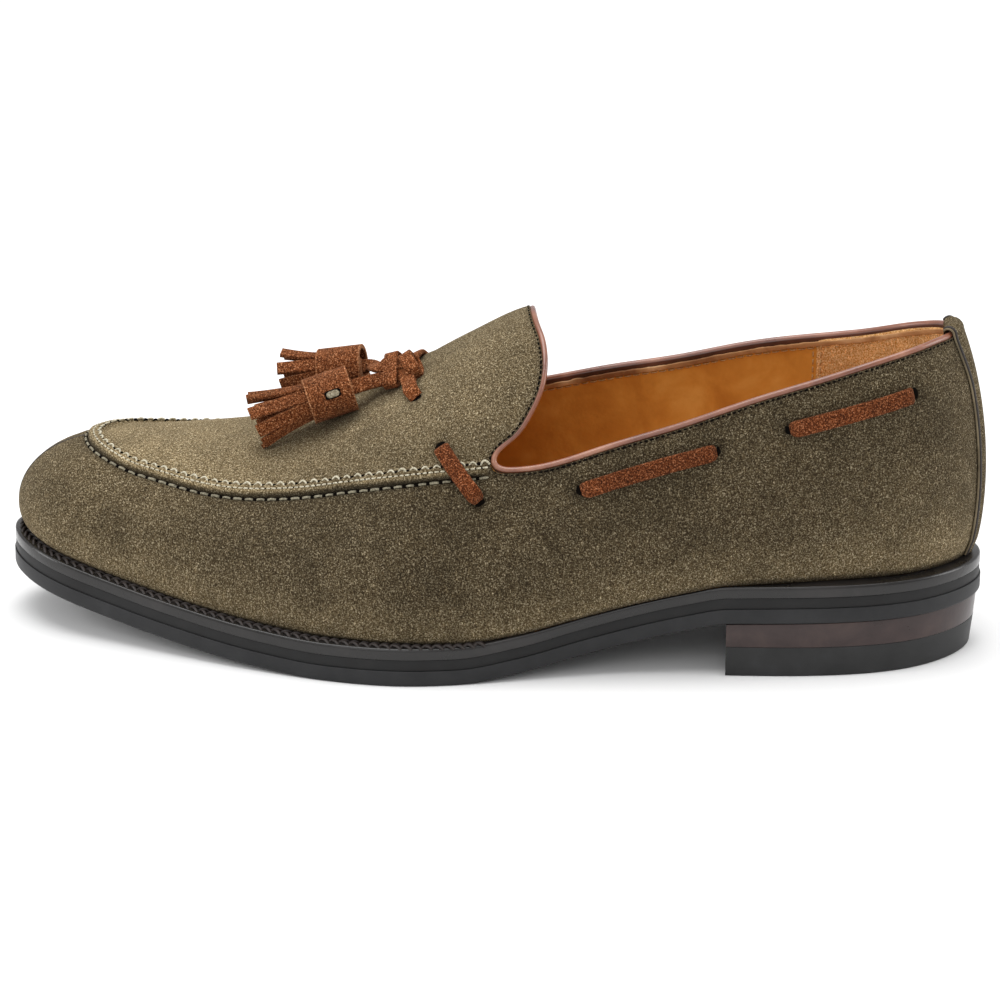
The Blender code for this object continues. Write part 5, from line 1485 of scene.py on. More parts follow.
def lining_sheet(name, offset, thickness, finish, cut_at=None):
    """A sheet inside the wall, cut at the collar, and behind a place along X where one is given."""
    shares = np.linspace(0.0, 1.0, 48)
    stations = spread((0.0, 1.0, 26), (1.0, 2.0, 110), (2.0, 3.0, 26))
    base = wall_grid(stations, lambda station, side: shares)[0]
    normals = grid_normals(base)
    level = collar_depth(base.reshape(-1, 3)).reshape(base.shape[:2]) + 0.75 * BINDING_DIAMETER
    if cut_at is not None:
        level = np.maximum(level, cut_at - base[..., 0])
    inwards = -normals
    inwards[:, [0, -1]] = unit(inwards[:, [0, -1]] * [1.0, 1.0, 0.0])
    data = np.concatenate([base + inwards * offset, inwards], axis=2)
    values, faces = clipped(data, level)
    faces = facing_out(values, faces)
    sheet = solid(name, values[:, :3], faces, finish, "tan_lining_leather", (), 60.0, None, True)
    thick = sheet.modifiers.new("leather", "SOLIDIFY")
    thick.thickness, thick.offset = thickness, -1.0


GRIP_FRONT = 0.0955
GRIP_PITCH = 0.0026
LINING_PITCH = 0.0027
# Widths, thicknesses and edge radii of the strips inside the collar
INNER_BINDING = (0.0022, 0.0006, 0.00025)
RAW_EDGE = (0.0016, 0.0007, 0.0002)
RAGGED = 0.2
BINDING_STEPS = 620
COLLAR_STEPS = 520


def build_lining():
    """The smooth lining, the napped grip round the heel and the seam between them."""
    lining_sheet("quarter_lining", WALL, 0.0008, "lining")
    lining_sheet("heel_grip", WALL + 0.0005, 0.0006, "grip", GRIP_FRONT)
    for side in SIDES:
        for row, gap in enumerate((-0.0011, 0.0013)):
            lift = -(WALL + (0.0006 if gap > 0 else 0.0001))
            line = [on_side(GRIP_FRONT + gap, height, side, lift) for height in np.linspace(0.30, 0.74, 40)]
            path, normals = (np.array(values) for values in zip(*line))
            keep = collar_depth(path) < -0.0030
            places, ahead, outwards = spaced(path[keep], -normals[keep], GRIP_PITCH)
            laid_threads(
                f"grip_stitches_{side}_{row}", places, ahead, outwards, "tan_thread",
                length=0.0019, rise=0.0003, thread=0.0005, seed=5,
            )


def build_collar(sizes):
    """The rolled binding, the raw edge of the lining inside it and the stitches under it."""
    radius = BINDING_DIAMETER / 2
    angle = np.arange(14) / 14 * 2 * math.pi
    roll = np.stack([np.cos(angle) * radius * 1.02, np.sin(angle) * radius * 1.06], axis=1)
    path, normals = collar_loop(-radius, WALL / 2, BINDING_STEPS)
    points, faces = sweep(path, normals, roll, closed=True)
    solid("rolled_binding", points, faces, "binding", "brown_binding_leather", ["collar_binding"])
    # The binding's flap inside the collar, dark as painted shade of the collar's inside
    path, normals = collar_loop(-radius - 0.0009, WALL / 2 + radius + 0.0001, COLLAR_STEPS)
    points, faces = sweep(path, normals, rounded_section(*INNER_BINDING), closed=True)
    solid("inner_binding", points, faces, "inner_binding", "brown_binding_leather")
    path, normals = collar_loop(-BINDING_DIAMETER - 0.0012, WALL + 0.0004, COLLAR_STEPS)
    wave = np.random.default_rng(11).normal(size=COLLAR_STEPS)
    ragged = (wave + np.roll(wave, 1) + np.roll(wave, 2)) / 3
    section = rounded_section(*RAW_EDGE)
    points, faces = sweep(path, normals, section, closed=True, scale=1 + RAGGED * ragged)
    solid("lining_raw_edge", points, faces, "raw_edge", "tan_lining_leather")
    # Black stitch marks under the binding: painted shade of the stitch holes
    path, normals = collar_loop(-BINDING_DIAMETER - 0.0001, -0.0001, COLLAR_STEPS)
    places, ahead, outwards = spaced(path, normals, sizes.collar_pitch)
    laid_threads(
        "collar_stitches", places, ahead, outwards, "hole",
        length=sizes.collar_pitch * 0.55, rise=0.00006, thread=0.00066, uneven=0.2, seed=2,
    )
    path, normals = collar_loop(-BINDING_DIAMETER - 0.0026, WALL + 0.0002, COLLAR_STEPS)
    places, ahead, outwards = spaced(path, -normals, LINING_PITCH)
    laid_threads(
        "collar_lining_stitches", places, ahead, outwards, "tan_thread",
        length=0.0020, rise=0.0003, thread=0.00045, seed=4,
    )


# Heights over the seam's lower edge and off the suede: its lower crease, its upper edge and its crest
LOWER_LINE = (-0.0005, -0.0001)
UPPER_LINE = (SEAM_WIDTH - 0.0014, SEAM_HEIGHT * 0.90)
CREST_LINE = (SEAM_WIDTH - 0.0023, SEAM_HEIGHT * 0.99)
STITCH_START = 0.0014
LOOP_START = 0.001
TOE_SEAM = (0.0007, 0.0005, 0.0002)


def build_apron_seam(sizes):
    """The stitches of the raised seam: long ones in the lower crease, and loops along the upper edge."""
    path, normals = seam_lines(*LOWER_LINE)
    places, ahead, outwards = spaced(path, normals, sizes.stitch_pitch, STITCH_START)
    laid_threads(
        "apron_lower_stitches", places, ahead, outwards, "crease_thread",
        length=sizes.stitch_pitch * 0.78, rise=0.00035, thread=0.00080, uneven=0.12, seed=7,
    )
    # Black marks between the long stitches: painted shade of their holes
    laid_threads(
        "apron_lower_holes", places + ahead * sizes.stitch_pitch / 2, ahead, outwards, "hole",
        length=sizes.stitch_pitch * 0.30, rise=0.00010, thread=0.0010, uneven=0.2, seed=8,
    )
    path, normals = seam_lines(*UPPER_LINE)
    places, ahead, outwards = spaced(path, normals, sizes.loop_pitch, LOOP_START)
    laid_threads(
        "apron_loops", places, ahead, outwards, "pale_thread",
        length=sizes.loop_pitch * 0.74, rise=0.00030, thread=0.00062, bow=-0.0012, uneven=0.10, seed=9,
    )
    # Black marks between the loops' feet: painted shade
    between = LOOP_START + sizes.loop_pitch / 2
    places, ahead, outwards = spaced(path, normals, sizes.loop_pitch, between)
    upwards = np.cross(ahead, outwards)
    laid_threads(
        "apron_loop_holes", places + upwards * 0.0005 - outwards * 0.00015, ahead, outwards,
        "hole",
        length=0.0013, rise=0.00020, thread=0.0010, uneven=0.15, seed=12,
    )
    path, normals = seam_lines(*CREST_LINE)
    places, ahead, outwards = spaced(path, normals, sizes.loop_pitch / 2, LOOP_START)
    laid_threads(
        "apron_ties", places, ahead, outwards, "pale_thread",
        length=sizes.loop_pitch * 0.40, rise=0.00022, thread=0.00052, uneven=0.15, seed=10,
    )
    # Black marks between the ties: painted shade
    laid_threads(
        "apron_tie_gaps", places + ahead * sizes.loop_pitch / 4, ahead, outwards, "hole",
        length=0.0005, rise=0.00005, thread=0.00055, uneven=0.2, seed=13,
    )
    shares = np.linspace(0.04, 0.70, 90)
    places = np.array([wall_at(3.0, "outer", share) for share in shares])
    outwards = np.array([wall_normal(2.98, "outer", share) for share in shares])
    points, faces = sweep(places - outwards * 0.0001, outwards, rounded_section(*TOE_SEAM))
    solid("toe_crest_seam", points, faces, "dark_thread", "olive_suede")


STRAP_FLARE = 0.40
FLARE_REACH = 0.16
# Widths, thicknesses and edge radii of the strap's dark cord, painted shadow along its sewn edge, and of its
# cut edge, and how many of its steps are sewn
STRAP_SEAM = (0.0008, 0.0007, 0.0003)
STRAP_RAW_EDGE = (0.0005, 0.0006, 0.0002)
SEWN_STEPS = 56


def build_back_strap():
    """The strap up the back seam, rolled over the collar, with dark cords along its sewn edges that are
    painted shadow.
    """
    half = STRAP_THICKNESS / 2
    outside = GAP + half
    inside = WALL + GAP + half + 0.0003
    reach = math.asin(STRAP_WIDTH / 2 / abs(FEATHER.across(HEEL_CENTRE, "inner"))) * 2 / math.pi
    grid = []
    for share_across in np.linspace(-1.0, 1.0, 27):
        side = "outer" if share_across < 0 else "inner"
        wide = abs(share_across) * reach * (1 + STRAP_FLARE)
        shares = np.linspace(0.2, 0.9, 200)
        run = np.array([wall_at(wide, side, share) for share in shares])
        edge = np.interp(-BINDING_DIAMETER / 2, collar_depth(run), shares)
        length = wall_profile(wide, side)[1][-1]
        top, out = wall_at(wide, side, edge), wall_normal(wide, side, edge)
        ahead = unit(wall_at(wide, side, edge + 0.01) - wall_at(wide, side, edge - 0.01))
        radius = (outside + inside) / 2
        line = []
        for share in np.linspace(0.004, edge, 46, endpoint=False):
            flare = 1 + STRAP_FLARE * ramp(edge - FLARE_REACH, edge, share)
            station = abs(share_across) * reach * flare
            normal = wall_normal(station, side, share)
            line.append((wall_at(station, side, share) + normal * outside, normal))
        for angle in np.linspace(0.0, math.pi, 15):
            normal = out * math.cos(angle) + ahead * math.sin(angle)
            full = radius + 0.0007 * math.sin(angle)
            line.append((top - out * WALL / 2 + normal * full, normal))
        for share in np.linspace(edge, edge - STRAP_TAIL / length, 12)[1:]:
            normal = wall_normal(wide, side, share)
            line.append((wall_at(wide, side, share) - normal * inside, -normal))
        grid.append(line)
    grid = np.array(grid)
    across, down = grid.shape[:2]
    u = np.linspace(-1.0, 1.0, across)
    plump = np.sqrt(np.clip(1 - np.abs(u) ** 8, 0.0, 1.0))[:, None, None] * half
    crest = 0.0003 * np.exp(-(((np.abs(u) - 0.80) / 0.09) ** 2))[:, None, None]
    outer = grid[:, :, 0] + grid[:, :, 1] * (plump - crest)
    inner = grid[:, :, 0] - grid[:, :, 1] * plump
    points = np.concatenate([outer.reshape(-1, 3), inner.reshape(-1, 3)])
    size, faces = across * down, []
    for i in range(across - 1):
        for j in range(down - 1):
            a, b = i * down + j, (i + 1) * down + j
            faces += [(a, b, b + 1, a + 1), (size + a, size + a + 1, size + b + 1, size + b)]
        for a in (i * down, i * down + down - 1):
            b = a + down
            faces.append((a, b, size + b, size + a))
    for j in range(down - 1):
        for a in (j, (across - 1) * down + j):
            faces.append((a, a + 1, size + a + 1, size + a))
    solid("suede_back_strap", points, faces, "strap", "olive_suede", ["back_strap"])
    cord = rounded_section(*STRAP_SEAM)
    raw = rounded_section(*STRAP_RAW_EDGE)
    for name, i, away in (("outer", 0, 1), ("inner", across - 1, -1)):
        line, normals = grid[i, :SEWN_STEPS, 0], grid[i, :SEWN_STEPS, 1]
        beside = unit(line - grid[i + away, :SEWN_STEPS, 0])
        # The dark cord is painted shadow along the strap's raised edge
        points, faces = sweep(line + beside * 0.0004 + normals * 0.0001, normals, cord)
        solid(f"strap_seam_{name}", points, faces, "dark_thread", "olive_suede")
        points, faces = sweep(line + beside * 0.0011 - normals * 0.0003, normals, raw)
        solid(f"strap_raw_edge_{name}", points, faces, "strap_edge", "olive_suede")


# The lace

SLOT_SIDES = 18
SLOT_RINGS = 9
SLOT_REACH = (0.0014, 0.0021)
SLOT_DEPTH = 0.0007
BAR_SINK = 0.0012


def build_lace_bars():
    """The lace between its holes on both sides, and the dark slots that it goes into."""
    section = lace_section(LACE_WIDTH * 1.06, LACE_THICKNESS)
    for row in LACE_BARS:
        stand = GAP + LACE_THICKNESS / 2 + (SEAM_HEIGHT if row["name"] == "vamp" else 0.0)
        for side in SIDES:
            line = []
            for share in (1 - np.cos(np.linspace(0.0, math.pi, 72))) / 2:
                x = float(x_at(row["from_along"] + (row["to_along"] - row["from_along"]) * share))
                height = row["from_height"] + (row["to_height"] - row["from_height"]) * share
                line.append(on_side(x, height, side))
            path, normals = (np.array(values) for values in zip(*line))
            lengths = run_lengths(path)
            from_end = np.minimum(lengths, lengths[-1] - lengths)
            lift = (stand + BAR_SINK) * ramp(-0.0004, 0.0026, from_end) - BAR_SINK
            path = path + normals * lift[:, None]
            scale = 0.34 + 0.66 * np.sqrt(1 - (1 - np.clip(from_end / 0.0023, 0.0, 1.0)) ** 2)
            points, faces = sweep(path, normals, section, scale=scale)
            solid(
                f"suede_lace_{row['name']}_{side}", points, faces, "side_rust", "rust_suede",
                [f"lace_{row['name']}_{side}"],
            )
    # The slots are painted shade: black pits where the lace goes into the wall
    pits = []
    for place, normal, along in hole_places():
        across = np.cross(normal, along)
        points = []
        for ring in np.linspace(-1.0, 1.0, SLOT_RINGS):
            middle = place - along * 0.0001 + normal * (ring * 0.0002 - SLOT_DEPTH)
            long, wide = (size * math.sqrt(max(0.0, 1 - ring * ring)) for size in SLOT_REACH)
            for turn in np.arange(SLOT_SIDES) / SLOT_SIDES * 2 * math.pi:
                points.append(middle + along * math.cos(turn) * long + across * math.sin(turn) * wide)
        faces = []
        for low in range(0, (SLOT_RINGS - 1) * SLOT_SIDES, SLOT_SIDES):
            for here in range(SLOT_SIDES):
                after = (here + 1) % SLOT_SIDES
                high = low + SLOT_SIDES
                faces.append((low + here, low + after, high + after, high + here))
        pits.append((np.array(points), faces))
    solid("lace_slots", *joined(pits), "hole", "olive_suede")


def direction(turn, dip):
    """Unit vector towards the toe, turned outwards and dipped by these angles in degrees."""
    turn, dip = math.radians(turn), math.radians(dip)
    return np.array([-math.cos(turn) * math.cos(dip), -math.sin(turn) * math.cos(dip), -math.sin(dip)])


def place_on_vamp(row, lift):
    """A table row's place on the vamp."""
    return on_top(float(x_at(row["along"])), row["across"] * BALL_WIDTH, lift)[0]


def tassel_frame(row):
    """The middle of a tassel's band, its direction and two directions across it."""
    ahead = direction(row["turn"], row["dip"])
    centre = place_on_vamp(row, row["lift"] + TASSEL_DIAMETER / 2 + GAP)
    across = unit(np.cross([0.0, 0.0, 1.0], ahead))
    return centre, ahead, across, np.cross(ahead, across)


BOW_ROLL = math.radians(43.0)
KNOT_TILT = math.radians(24.0)
LEAD_STEPS = 90


def lead_line():
    """The knot and the sleeve in front of it, the direction from one to the other and the directions across.

    The two lace ends lie nearly one above the other here, turned to the outer side.
    """
    knot = place_on_vamp(KNOT, KNOT["lift"] - 0.0002)
    sleeve = place_on_vamp(SLEEVE, SLEEVE["lift"] - 0.0004)
    towards = unit(sleeve - knot)
    side = unit(np.cross([0.0, 0.0, 1.0], towards))
    up = np.cross(towards, side)
    lean, rise = math.cos(BOW_ROLL), math.sin(BOW_ROLL)
    return knot, sleeve - towards * 0.0008, towards, side * lean - up * rise, up * lean + side * rise


def lead_path(row):
    """The middle of a lace end, from its hole over the vamp, through knot and sleeve to its tassel."""
    centre, ahead = tassel_frame(row)[:2]
    knot, sleeve, towards, side = lead_line()[:4]
    hole = LACE_HOLES[row["name"]]
    x, y = float(x_at(hole["along"])), hole["across"] * BALL_WIDTH
    start, start_out = on_top(x, y, -0.0006)
    rise = on_top(x, y, GAP + LACE_THICKNESS / 2)[0]
    offset = -side * row["lead"]
    over = [start]
    for share in (0.22, 0.50, 0.78):
        flat = rise + (knot - rise) * share
        over.append(on_top(flat[0], flat[1], 0.0013 + (KNOT["lift"] - 0.0013) * share**2)[0])
    turn_in = knot + towards * 0.0012 + offset * 0.45
    leave = sleeve + towards * (SLEEVE_LENGTH / 2 + LEAD_CLEARANCE)
    end = centre - ahead * (TASSEL_BAND_LENGTH / 2 - LACE_SEAT + GAP)
    guide = over + [turn_in, sleeve + offset, leave + offset, end - ahead * LACE_SEAT, end]
    path = resampled(curve_through(guide), LEAD_STEPS)
    share = np.linspace(0.0, 1.0, len(path))
    roll = BOW_ROLL * ramp(0.30, 0.48, share)
    roll = roll + (math.radians(row["roll"]) - BOW_ROLL) * ramp(0.68, 1.0, share)
    level = np.stack([np.zeros_like(share), -np.sin(roll), np.cos(roll)], axis=1)
    early = (1 - ramp(0.25, 0.5, share))[:, None]
    return path, unit(level * (1 - early) + start_out * early)


def build_bow():
    """The two lace ends with the knot over them, the sleeve that holds them together, and their tassels."""
    knot, sleeve, towards, side, up = lead_line()
    extras = {row["name"]: build_tassel(row) for row in TASSELS}
    pair = abs(TASSELS[0]["lead"]) + LACE_WIDTH / 2 + 0.0002
    sleeve_band = wrapped(
        "lace_sleeve_wrap", sleeve, (towards, side, up), pair, LACE_THICKNESS / 2 + 0.0003,
        SLEEVE_WALL, SLEEVE_LENGTH, ["lace_sleeve"],
    )
    tilt, level = math.sin(KNOT_TILT), math.cos(KNOT_TILT)
    leaning = (towards * level + side * tilt, side * level - towards * tilt, up)
    knot_band = wrapped(
        "lace_knot_wrap", knot - towards * 0.0004, leaning, LACE_WIDTH / 2 + 0.0010,
        LACE_THICKNESS + 0.0006, KNOT_WALL + 0.0003, KNOT_LENGTH, ["lace_knot"],
    )
    extras["near"] += [sleeve_band, knot_band]
    section = lace_section(LACE_WIDTH, LACE_THICKNESS)
    for row, nodes in zip(TASSELS, (["lace_end_near", "lace_bridge"], ["lace_end_far"])):
        path, normals = lead_path(row)
        scale = 0.94 + 0.06 * ramp(0.0, 0.1, np.linspace(0, 1, LEAD_STEPS))
        points, faces = sweep(path, normals, section, scale=scale)
        lead = solid(f"suede_lace_end_{row['name']}", points, faces, "rust", "rust_suede", nodes)


def wrapped(name, centre, axes, half_width, half_height, wall, length, nodes):
    """A short strip of the lace wrapped round others."""
    axis, side, up = axes
    angle = np.linspace(0.0, 2 * math.pi, 48, endpoint=False)
    u = np.sign(np.cos(angle)) * np.abs(np.cos(angle)) ** 0.62 * (half_width + wall / 2)
    v = np.sign(np.sin(angle)) * np.abs(np.sin(angle)) ** 0.62 * (half_height + wall / 2)
    path = centre + u[:, None] * side + v[:, None] * up
    sag = np.cos(angle * 2 + 0.6)[:, None] * 0.00025
    path = path + axis * sag
    ahead = unit(np.roll(path, -1, axis=0) - np.roll(path, 1, axis=0))
    normals = np.cross(ahead, axis)
    if (normals * (path - centre)).sum() < 0:
        normals = -normals
    points, faces = sweep(path, normals, rounded_section(length, wall, 0.0004), closed=True)
    return solid(name, points, faces, "rust", "rust_suede", nodes)


BAND_PUFF = 0.0004
BAND_TURNS = 1.55
BAND_STEPS = 110
FRINGE_GRIP = 0.0045


def build_tassel(row):
    """A rolled band, the strips of its fringe and the core that holds them."""
    centre, ahead, across, up = tassel_frame(row)
    half, radius = TASSEL_BAND_LENGTH / 2, TASSEL_DIAMETER / 2 + BAND_PUFF
    wound = np.linspace(0.0, BAND_TURNS, BAND_STEPS)
    angle = wound * 2 * math.pi + math.radians(row["curl"])
    shrink = (TASSEL_BAND_WALL + 0.00012) * (ramp(0.74, 1.0, wound) + np.maximum(wound - 1.0, 0.0))
    spiral = radius - TASSEL_BAND_WALL / 2 - shrink
    outwards = np.cos(angle)[:, None] * across + np.sin(angle)[:, None] * up
    path = centre + outwards * spiral[:, None]
    section = rounded_section(TASSEL_BAND_LENGTH, TASSEL_BAND_WALL, 0.0004)
    points, faces = sweep(path, outwards, section)
    band = solid(
        f"rolled_band_{row['name']}", points, faces, "rust", "rust_suede", [f"tassel_{row['name']}_band"]
    )
    # Pale rims at the band's ends: the cut core, paler still as a painted highlight
    rim = rounded_section(0.0005, TASSEL_BAND_WALL + 0.0001, 0.0002)
    rims = [sweep(path + ahead * end * (half - 0.0002), outwards, rim) for end in (-1, 1)]
    rims = solid(f"band_rims_{row['name']}", *joined(rims), "rust_edge", "rust_suede")
    core_radius = radius - TASSEL_BAND_WALL - GAP
    strips = []
    for i in range(len(FRINGE["turn"])):
        strip = {name: values[i] for name, values in FRINGE.items()}
        turn = math.radians(strip["turn"])
        out = across * math.cos(turn) + up * math.sin(turn)
        seat = core_radius - FRINGE_THICKNESS * 0.6 - strip["inwards"]
        reach = FRINGE_LENGTH * strip["length"] * row["fringe"]
        share = np.linspace(0.0, 1.0, 26)[:, None]
        tangent = np.cross(ahead, out)
        sway = tangent * (0.0005 * math.sin(3.1 * strip["turn"])) * share**2
        path = centre + ahead * (half - FRINGE_GRIP + (reach + FRINGE_GRIP) * share) + sway
        path = path + out * (seat + FRINGE_SPLAY * strip["splay"] * share**1.6)
        path = path + up * strip["fan"] * row["fringe"] * share**1.8
        twist = math.radians(strip["twist"]) * share
        normals = out * np.cos(twist) + tangent * np.sin(twist)
        section = rounded_section(FRINGE_WIDTH * 1.02 * strip["width"], FRINGE_THICKNESS, 0.00035)
        strips.append(sweep(path, normals, section))
    angle = np.arange(24) / 24 * 2 * math.pi
    core = np.stack([np.cos(angle), np.sin(angle)], axis=1) * (core_radius - FRINGE_THICKNESS)
    run = centre + ahead * np.linspace(LACE_SEAT - half + 0.001, half + 0.001, 8)[:, None]
    strips.append(sweep(run, np.tile(up, (8, 1)), core))
    fringe = solid(
        f"cut_fringe_{row['name']}", *joined(strips), "rust", "rust_suede",
        [f"tassel_{row['name']}_fringe"],
    )
    pieces = [band, fringe, rims]
    if row["name"] == "near":
        pieces += build_keeper(centre, ahead, across, up, radius)
    return pieces


def build_keeper(centre, ahead, across, up, radius):
    """The end of the pale strip that closes the near band, in its slot."""
    pieces = []
    turn = math.radians(18.0)
    along = np.linspace(-0.5, 0.5, 12)
    out = np.tile(math.cos(turn) * across + math.sin(turn) * up, (len(along), 1))
    oval = np.sqrt(np.clip(1.04 - (2 * along) ** 4, 0.0, 1.0))
    # The slot is painted shade: a dark ring round the keeper
    for name, size, lift, finish in (
        ("band_slot", (0.0058, 0.0027), -0.00018, "hole"),
        ("band_keeper", (0.0040, 0.0020), 0.00006, "keeper"),
    ):
        path = centre + ahead * (along * size[0] - 0.0008)[:, None] + out * (radius + lift)
        points, faces = sweep(path, out, rounded_section(size[1], 0.0005, 0.0002), scale=oval)
        pieces.append(solid(name, points, faces, finish, "rust_suede"))
    return pieces


# The studio

AZIMUTH, ELEVATION, ROLL = 3.5, 19.0, 0.35
CAMERA_DISTANCE = 1.300
AIM_HEIGHT = 0.0404
LENS = 153.44
FLOOR_REACH = 6.0
SURROUND = 0.62
LIGHTS = records(
    "name place aim size power",
    ("top_box", (-0.1, 0.1, 1.6), (0, 0, 0), (1.6, 1.2), 26.0),
    ("front_box", (-0.3, -1.6, 1.1), (0, 0, 0.04), (1.6, 1.0), 6.5),
    ("toe_box", (-1.3, -0.2, 0.5), (-0.1, 0, 0.04), (0.5, 0.9), 7.0),
    ("heel_box", (1.3, 0.1, 0.6), (0.1, 0, 0.04), (0.5, 0.9), 7.0),
)


def camera_axes():
    """Right, up and back of the camera."""
    azimuth, elevation, roll = (math.radians(angle) for angle in (AZIMUTH, ELEVATION, ROLL))
    level = math.cos(elevation)
    back = Vector((math.sin(azimuth) * level, -math.cos(azimuth) * level, math.sin(elevation)))
    right = Vector((0.0, 0.0, 1.0)).cross(back).normalized()
    up = back.cross(right)
    lean, rise = math.cos(roll), math.sin(roll)
    return right * lean + up * rise, up * lean - right * rise, back


def build_camera():
    """The photograph's camera."""
    data = bpy.data.cameras.new("photo_camera")
    data.lens, data.sensor_width = LENS, 36.0
    data.clip_start, data.clip_end = 0.05, 30.0
    camera = link("photo_camera", data)
    right, up, back = camera_axes()
    aim = Vector(SHIFT) + Vector((0.0, 0.0, AIM_HEIGHT))
    camera.matrix_world = Matrix.Translation(aim + back * CAMERA_DISTANCE) @ Matrix(
        ((right.x, up.x, back.x), (right.y, up.y, back.y), (right.z, up.z, back.z))
    ).to_4x4()
    bpy.context.scene.camera = camera


def soft_light(name, place, aim, size, power):
    """A soft box that faces a point."""
    data = bpy.data.lights.new(name, "AREA")
    data.shape, data.size, data.size_y = "RECTANGLE", *size
    data.energy = power
    lamp = link(name, data)
    lamp.location = place
    lamp.rotation_euler = (Vector(aim) - Vector(place)).to_track_quat("-Z", "Y").to_euler()


def build_studio():
    """Pale floor, soft boxes and an even surround."""
    mesh = bpy.data.meshes.new("studio_floor")
    corners = [(x * FLOOR_REACH, y * FLOOR_REACH, 0.0) for x, y in ((-1, -1), (1, -1), (1, 1), (-1, 1))]
    mesh.from_pydata(corners, [], [(0, 1, 2, 3)])
    mesh.materials.append(studio_paint())
    link("studio_floor", mesh)
    for row in LIGHTS:
        soft_light(**row)
    world = bpy.data.worlds.new("studio_surround")
    world.use_nodes = True
    background = world.node_tree.nodes["Background"].inputs
    background["Color"].default_value = (1.0, 1.0, 1.0, 1.0)
    background["Strength"].default_value = SURROUND
    bpy.context.scene.world = world
    bpy.context.scene.view_settings.view_transform = "Standard"


class LoaferSizes(bpy.types.PropertyGroup):
    """The stitch sizes that a shoemaker would change."""

    stitch_pitch: bpy.props.FloatProperty(
        name="Apron stitch pitch", description="Pitch of the long stitches in the apron's lower crease",
        default=0.0037, min=0.002, max=0.02, unit="LENGTH",
    )
    loop_pitch: bpy.props.FloatProperty(
        name="Apron loop pitch", description="Pitch of the thread loops along the apron's raised edge",
        default=0.0036, min=0.002, max=0.01, unit="LENGTH",
    )
    collar_pitch: bpy.props.FloatProperty(
        name="Collar stitch pitch", description="Pitch of the dark stitches under the binding",
        default=0.0017, min=0.001, max=0.01, unit="LENGTH",
    )
    welt_pitch: bpy.props.FloatProperty(
        name="Welt braid pitch", description="Pitch of the braided stitches on the welt's ledge",
        default=0.0031, min=0.001, max=0.01, unit="LENGTH",
    )


class LoaferColours(bpy.types.PropertyGroup):
    """The colours that a shoemaker would change."""

    suede: bpy.props.FloatVectorProperty(
        name="Upper suede", description="Middle colour of the upper's suede",
        default=rgb(OLIVE), min=0.0, max=1.0, subtype="COLOR",
    )
    lace: bpy.props.FloatVectorProperty(
        name="Lace and tassels", description="Middle colour of the lace and the tassels",
        default=rgb(RUST), min=0.0, max=1.0, subtype="COLOR",
    )
    lining: bpy.props.FloatVectorProperty(
        name="Lining", description="Middle colour of the lining, the insole and the heel grip",
        default=rgb(TAN), min=0.0, max=1.0, subtype="COLOR",
    )
    binding: bpy.props.FloatVectorProperty(
        name="Binding", description="Middle colour of the collar's binding",
        default=rgb(BROWN), min=0.0, max=1.0, subtype="COLOR",
    )


class LOAFER_OT_stage(bpy.types.Operator):
    """Makes the camera, the floor and the lights"""

    bl_idname = "loafer.stage"
    bl_label = "Studio"

    def execute(self, context):
        build_camera()
        build_studio()
        return {"FINISHED"}


class LOAFER_OT_finishes(bpy.types.Operator):
    """Makes the materials in the panel's colours"""

    bl_idname = "loafer.finishes"
    bl_label = "Finishes"

    def execute(self, context):
        make_finishes(context.scene.loafer_colours)
        return {"FINISHED"}


class LOAFER_OT_bow(bpy.types.Operator):
    """Makes the lace's two ends, its knot and sleeve, and the tassels"""

    bl_idname = "loafer.bow"
    bl_label = "Bow and tassels"

    def execute(self, context):
        build_bow()
        return {"FINISHED"}


class LOAFER_OT_sole(bpy.types.Operator):
    """Makes the outsole, midsole, welt, heel and insole"""

    bl_idname = "loafer.sole"
    bl_label = "Sole and heel"

    def execute(self, context):
        build_sole()
        return {"FINISHED"}


class LOAFER_OT_welt_stitches(bpy.types.Operator):
    """Lays the braided stitches on the welt"""

    bl_idname = "loafer.welt_stitches"
    bl_label = "Welt stitches"

    def execute(self, context):
        build_welt_stitches(context.scene.loafer_sizes)
        return {"FINISHED"}


class LOAFER_OT_upper(bpy.types.Operator):
    """Makes the suede upper"""

    bl_idname = "loafer.upper"
    bl_label = "Suede upper"

    def execute(self, context):
        build_upper(context.scene.loafer_sizes)
        return {"FINISHED"}


class LOAFER_OT_lining(bpy.types.Operator):
    """Makes the lining, the heel grip and their seam"""

    bl_idname = "loafer.lining"
    bl_label = "Lining"

    def execute(self, context):
        build_lining()
        return {"FINISHED"}


class LOAFER_OT_collar(bpy.types.Operator):
    """Makes the collar's binding, raw edge and stitches"""

    bl_idname = "loafer.collar"
    bl_label = "Collar"

    def execute(self, context):
        build_collar(context.scene.loafer_sizes)
        return {"FINISHED"}


class LOAFER_OT_apron_seam(bpy.types.Operator):
    """Lays the stitches of the apron's raised seam"""

    bl_idname = "loafer.apron_seam"
    bl_label = "Apron seam"

    def execute(self, context):
        build_apron_seam(context.scene.loafer_sizes)
        return {"FINISHED"}


class LOAFER_OT_back_strap(bpy.types.Operator):
    """Makes the strap up the back seam"""

    bl_idname = "loafer.back_strap"
    bl_label = "Back strap"

    def execute(self, context):
        build_back_strap()
        return {"FINISHED"}


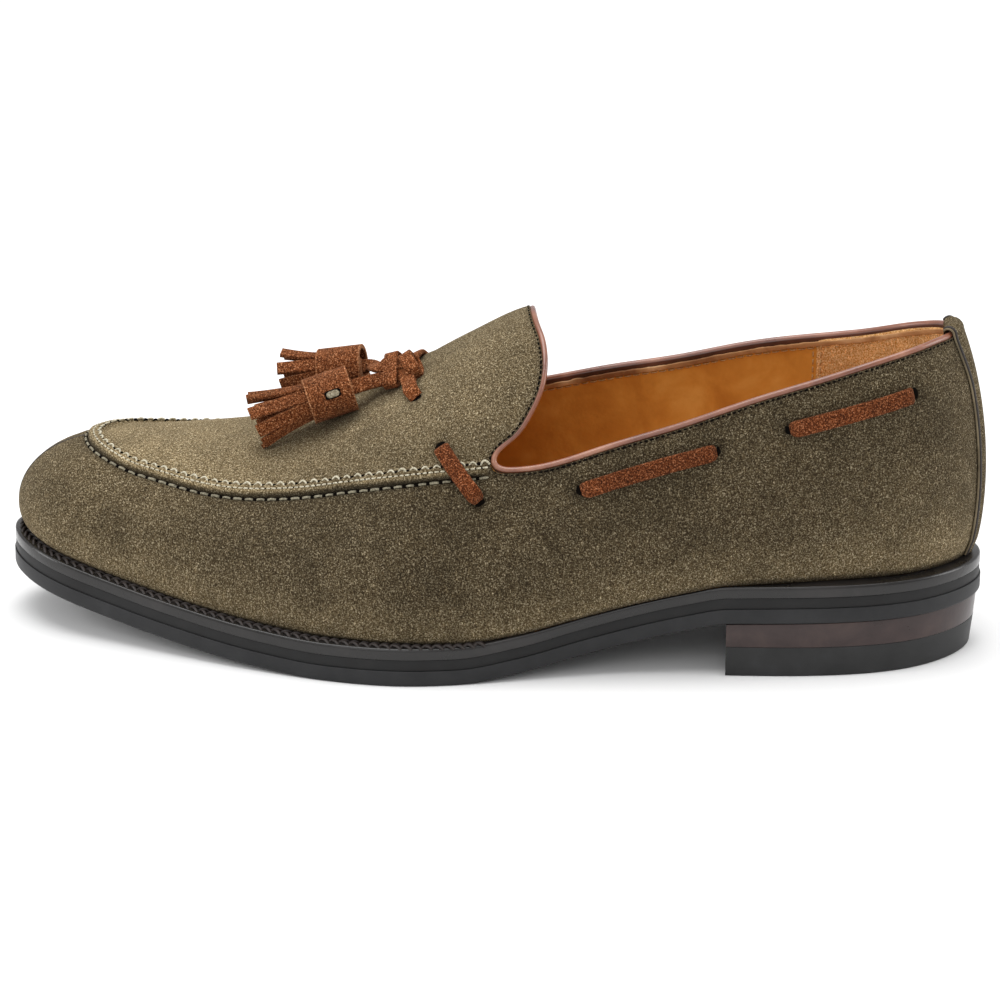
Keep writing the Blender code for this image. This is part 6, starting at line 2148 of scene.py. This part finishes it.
class LOAFER_OT_lace_bars(bpy.types.Operator):
    """Makes the lace along the sides and its slots"""

    bl_idname = "loafer.lace_bars"
    bl_label = "Side lace"

    def execute(self, context):
        build_lace_bars()
        return {"FINISHED"}


OPERATORS = (
    LOAFER_OT_stage, LOAFER_OT_finishes, LOAFER_OT_bow, LOAFER_OT_sole, LOAFER_OT_welt_stitches,
    LOAFER_OT_upper, LOAFER_OT_lining, LOAFER_OT_collar, LOAFER_OT_apron_seam, LOAFER_OT_back_strap,
    LOAFER_OT_lace_bars,
)


class LOAFER_PT_panel(bpy.types.Panel):
    """The loafer's pieces and sizes"""

    bl_idname = "LOAFER_PT_panel"
    bl_label = "Tassel loafer"
    bl_space_type = "VIEW_3D"
    bl_region_type = "UI"
    bl_category = "Loafer"

    def draw(self, context):
        for group in (context.scene.loafer_sizes, context.scene.loafer_colours):
            for name in type(group).__annotations__:
                self.layout.prop(group, name)
        for operator in OPERATORS:
            self.layout.operator(operator.bl_idname)


CLASSES = (LoaferSizes, LoaferColours, *OPERATORS, LOAFER_PT_panel)


def register():
    """Registers the classes and gives the scene its sizes and colours."""
    for item in CLASSES:
        bpy.utils.register_class(item)
    bpy.types.Scene.loafer_sizes = bpy.props.PointerProperty(type=LoaferSizes)
    bpy.types.Scene.loafer_colours = bpy.props.PointerProperty(type=LoaferColours)


def unregister():
    """Takes the sizes, the colours and the classes away again."""
    del bpy.types.Scene.loafer_colours
    del bpy.types.Scene.loafer_sizes
    for item in reversed(CLASSES):
        bpy.utils.unregister_class(item)


def main():
    """Builds every piece in order, the studio and the lace's cords first."""
    register()
    bpy.ops.loafer.stage()
    bpy.ops.loafer.finishes()
    bpy.ops.loafer.bow()
    bpy.ops.loafer.sole()
    bpy.ops.loafer.welt_stitches()
    bpy.ops.loafer.upper()
    bpy.ops.loafer.lining()
    bpy.ops.loafer.collar()
    bpy.ops.loafer.apron_seam()
    bpy.ops.loafer.back_strap()
    bpy.ops.loafer.lace_bars()


if __name__ == "__main__":
    main()
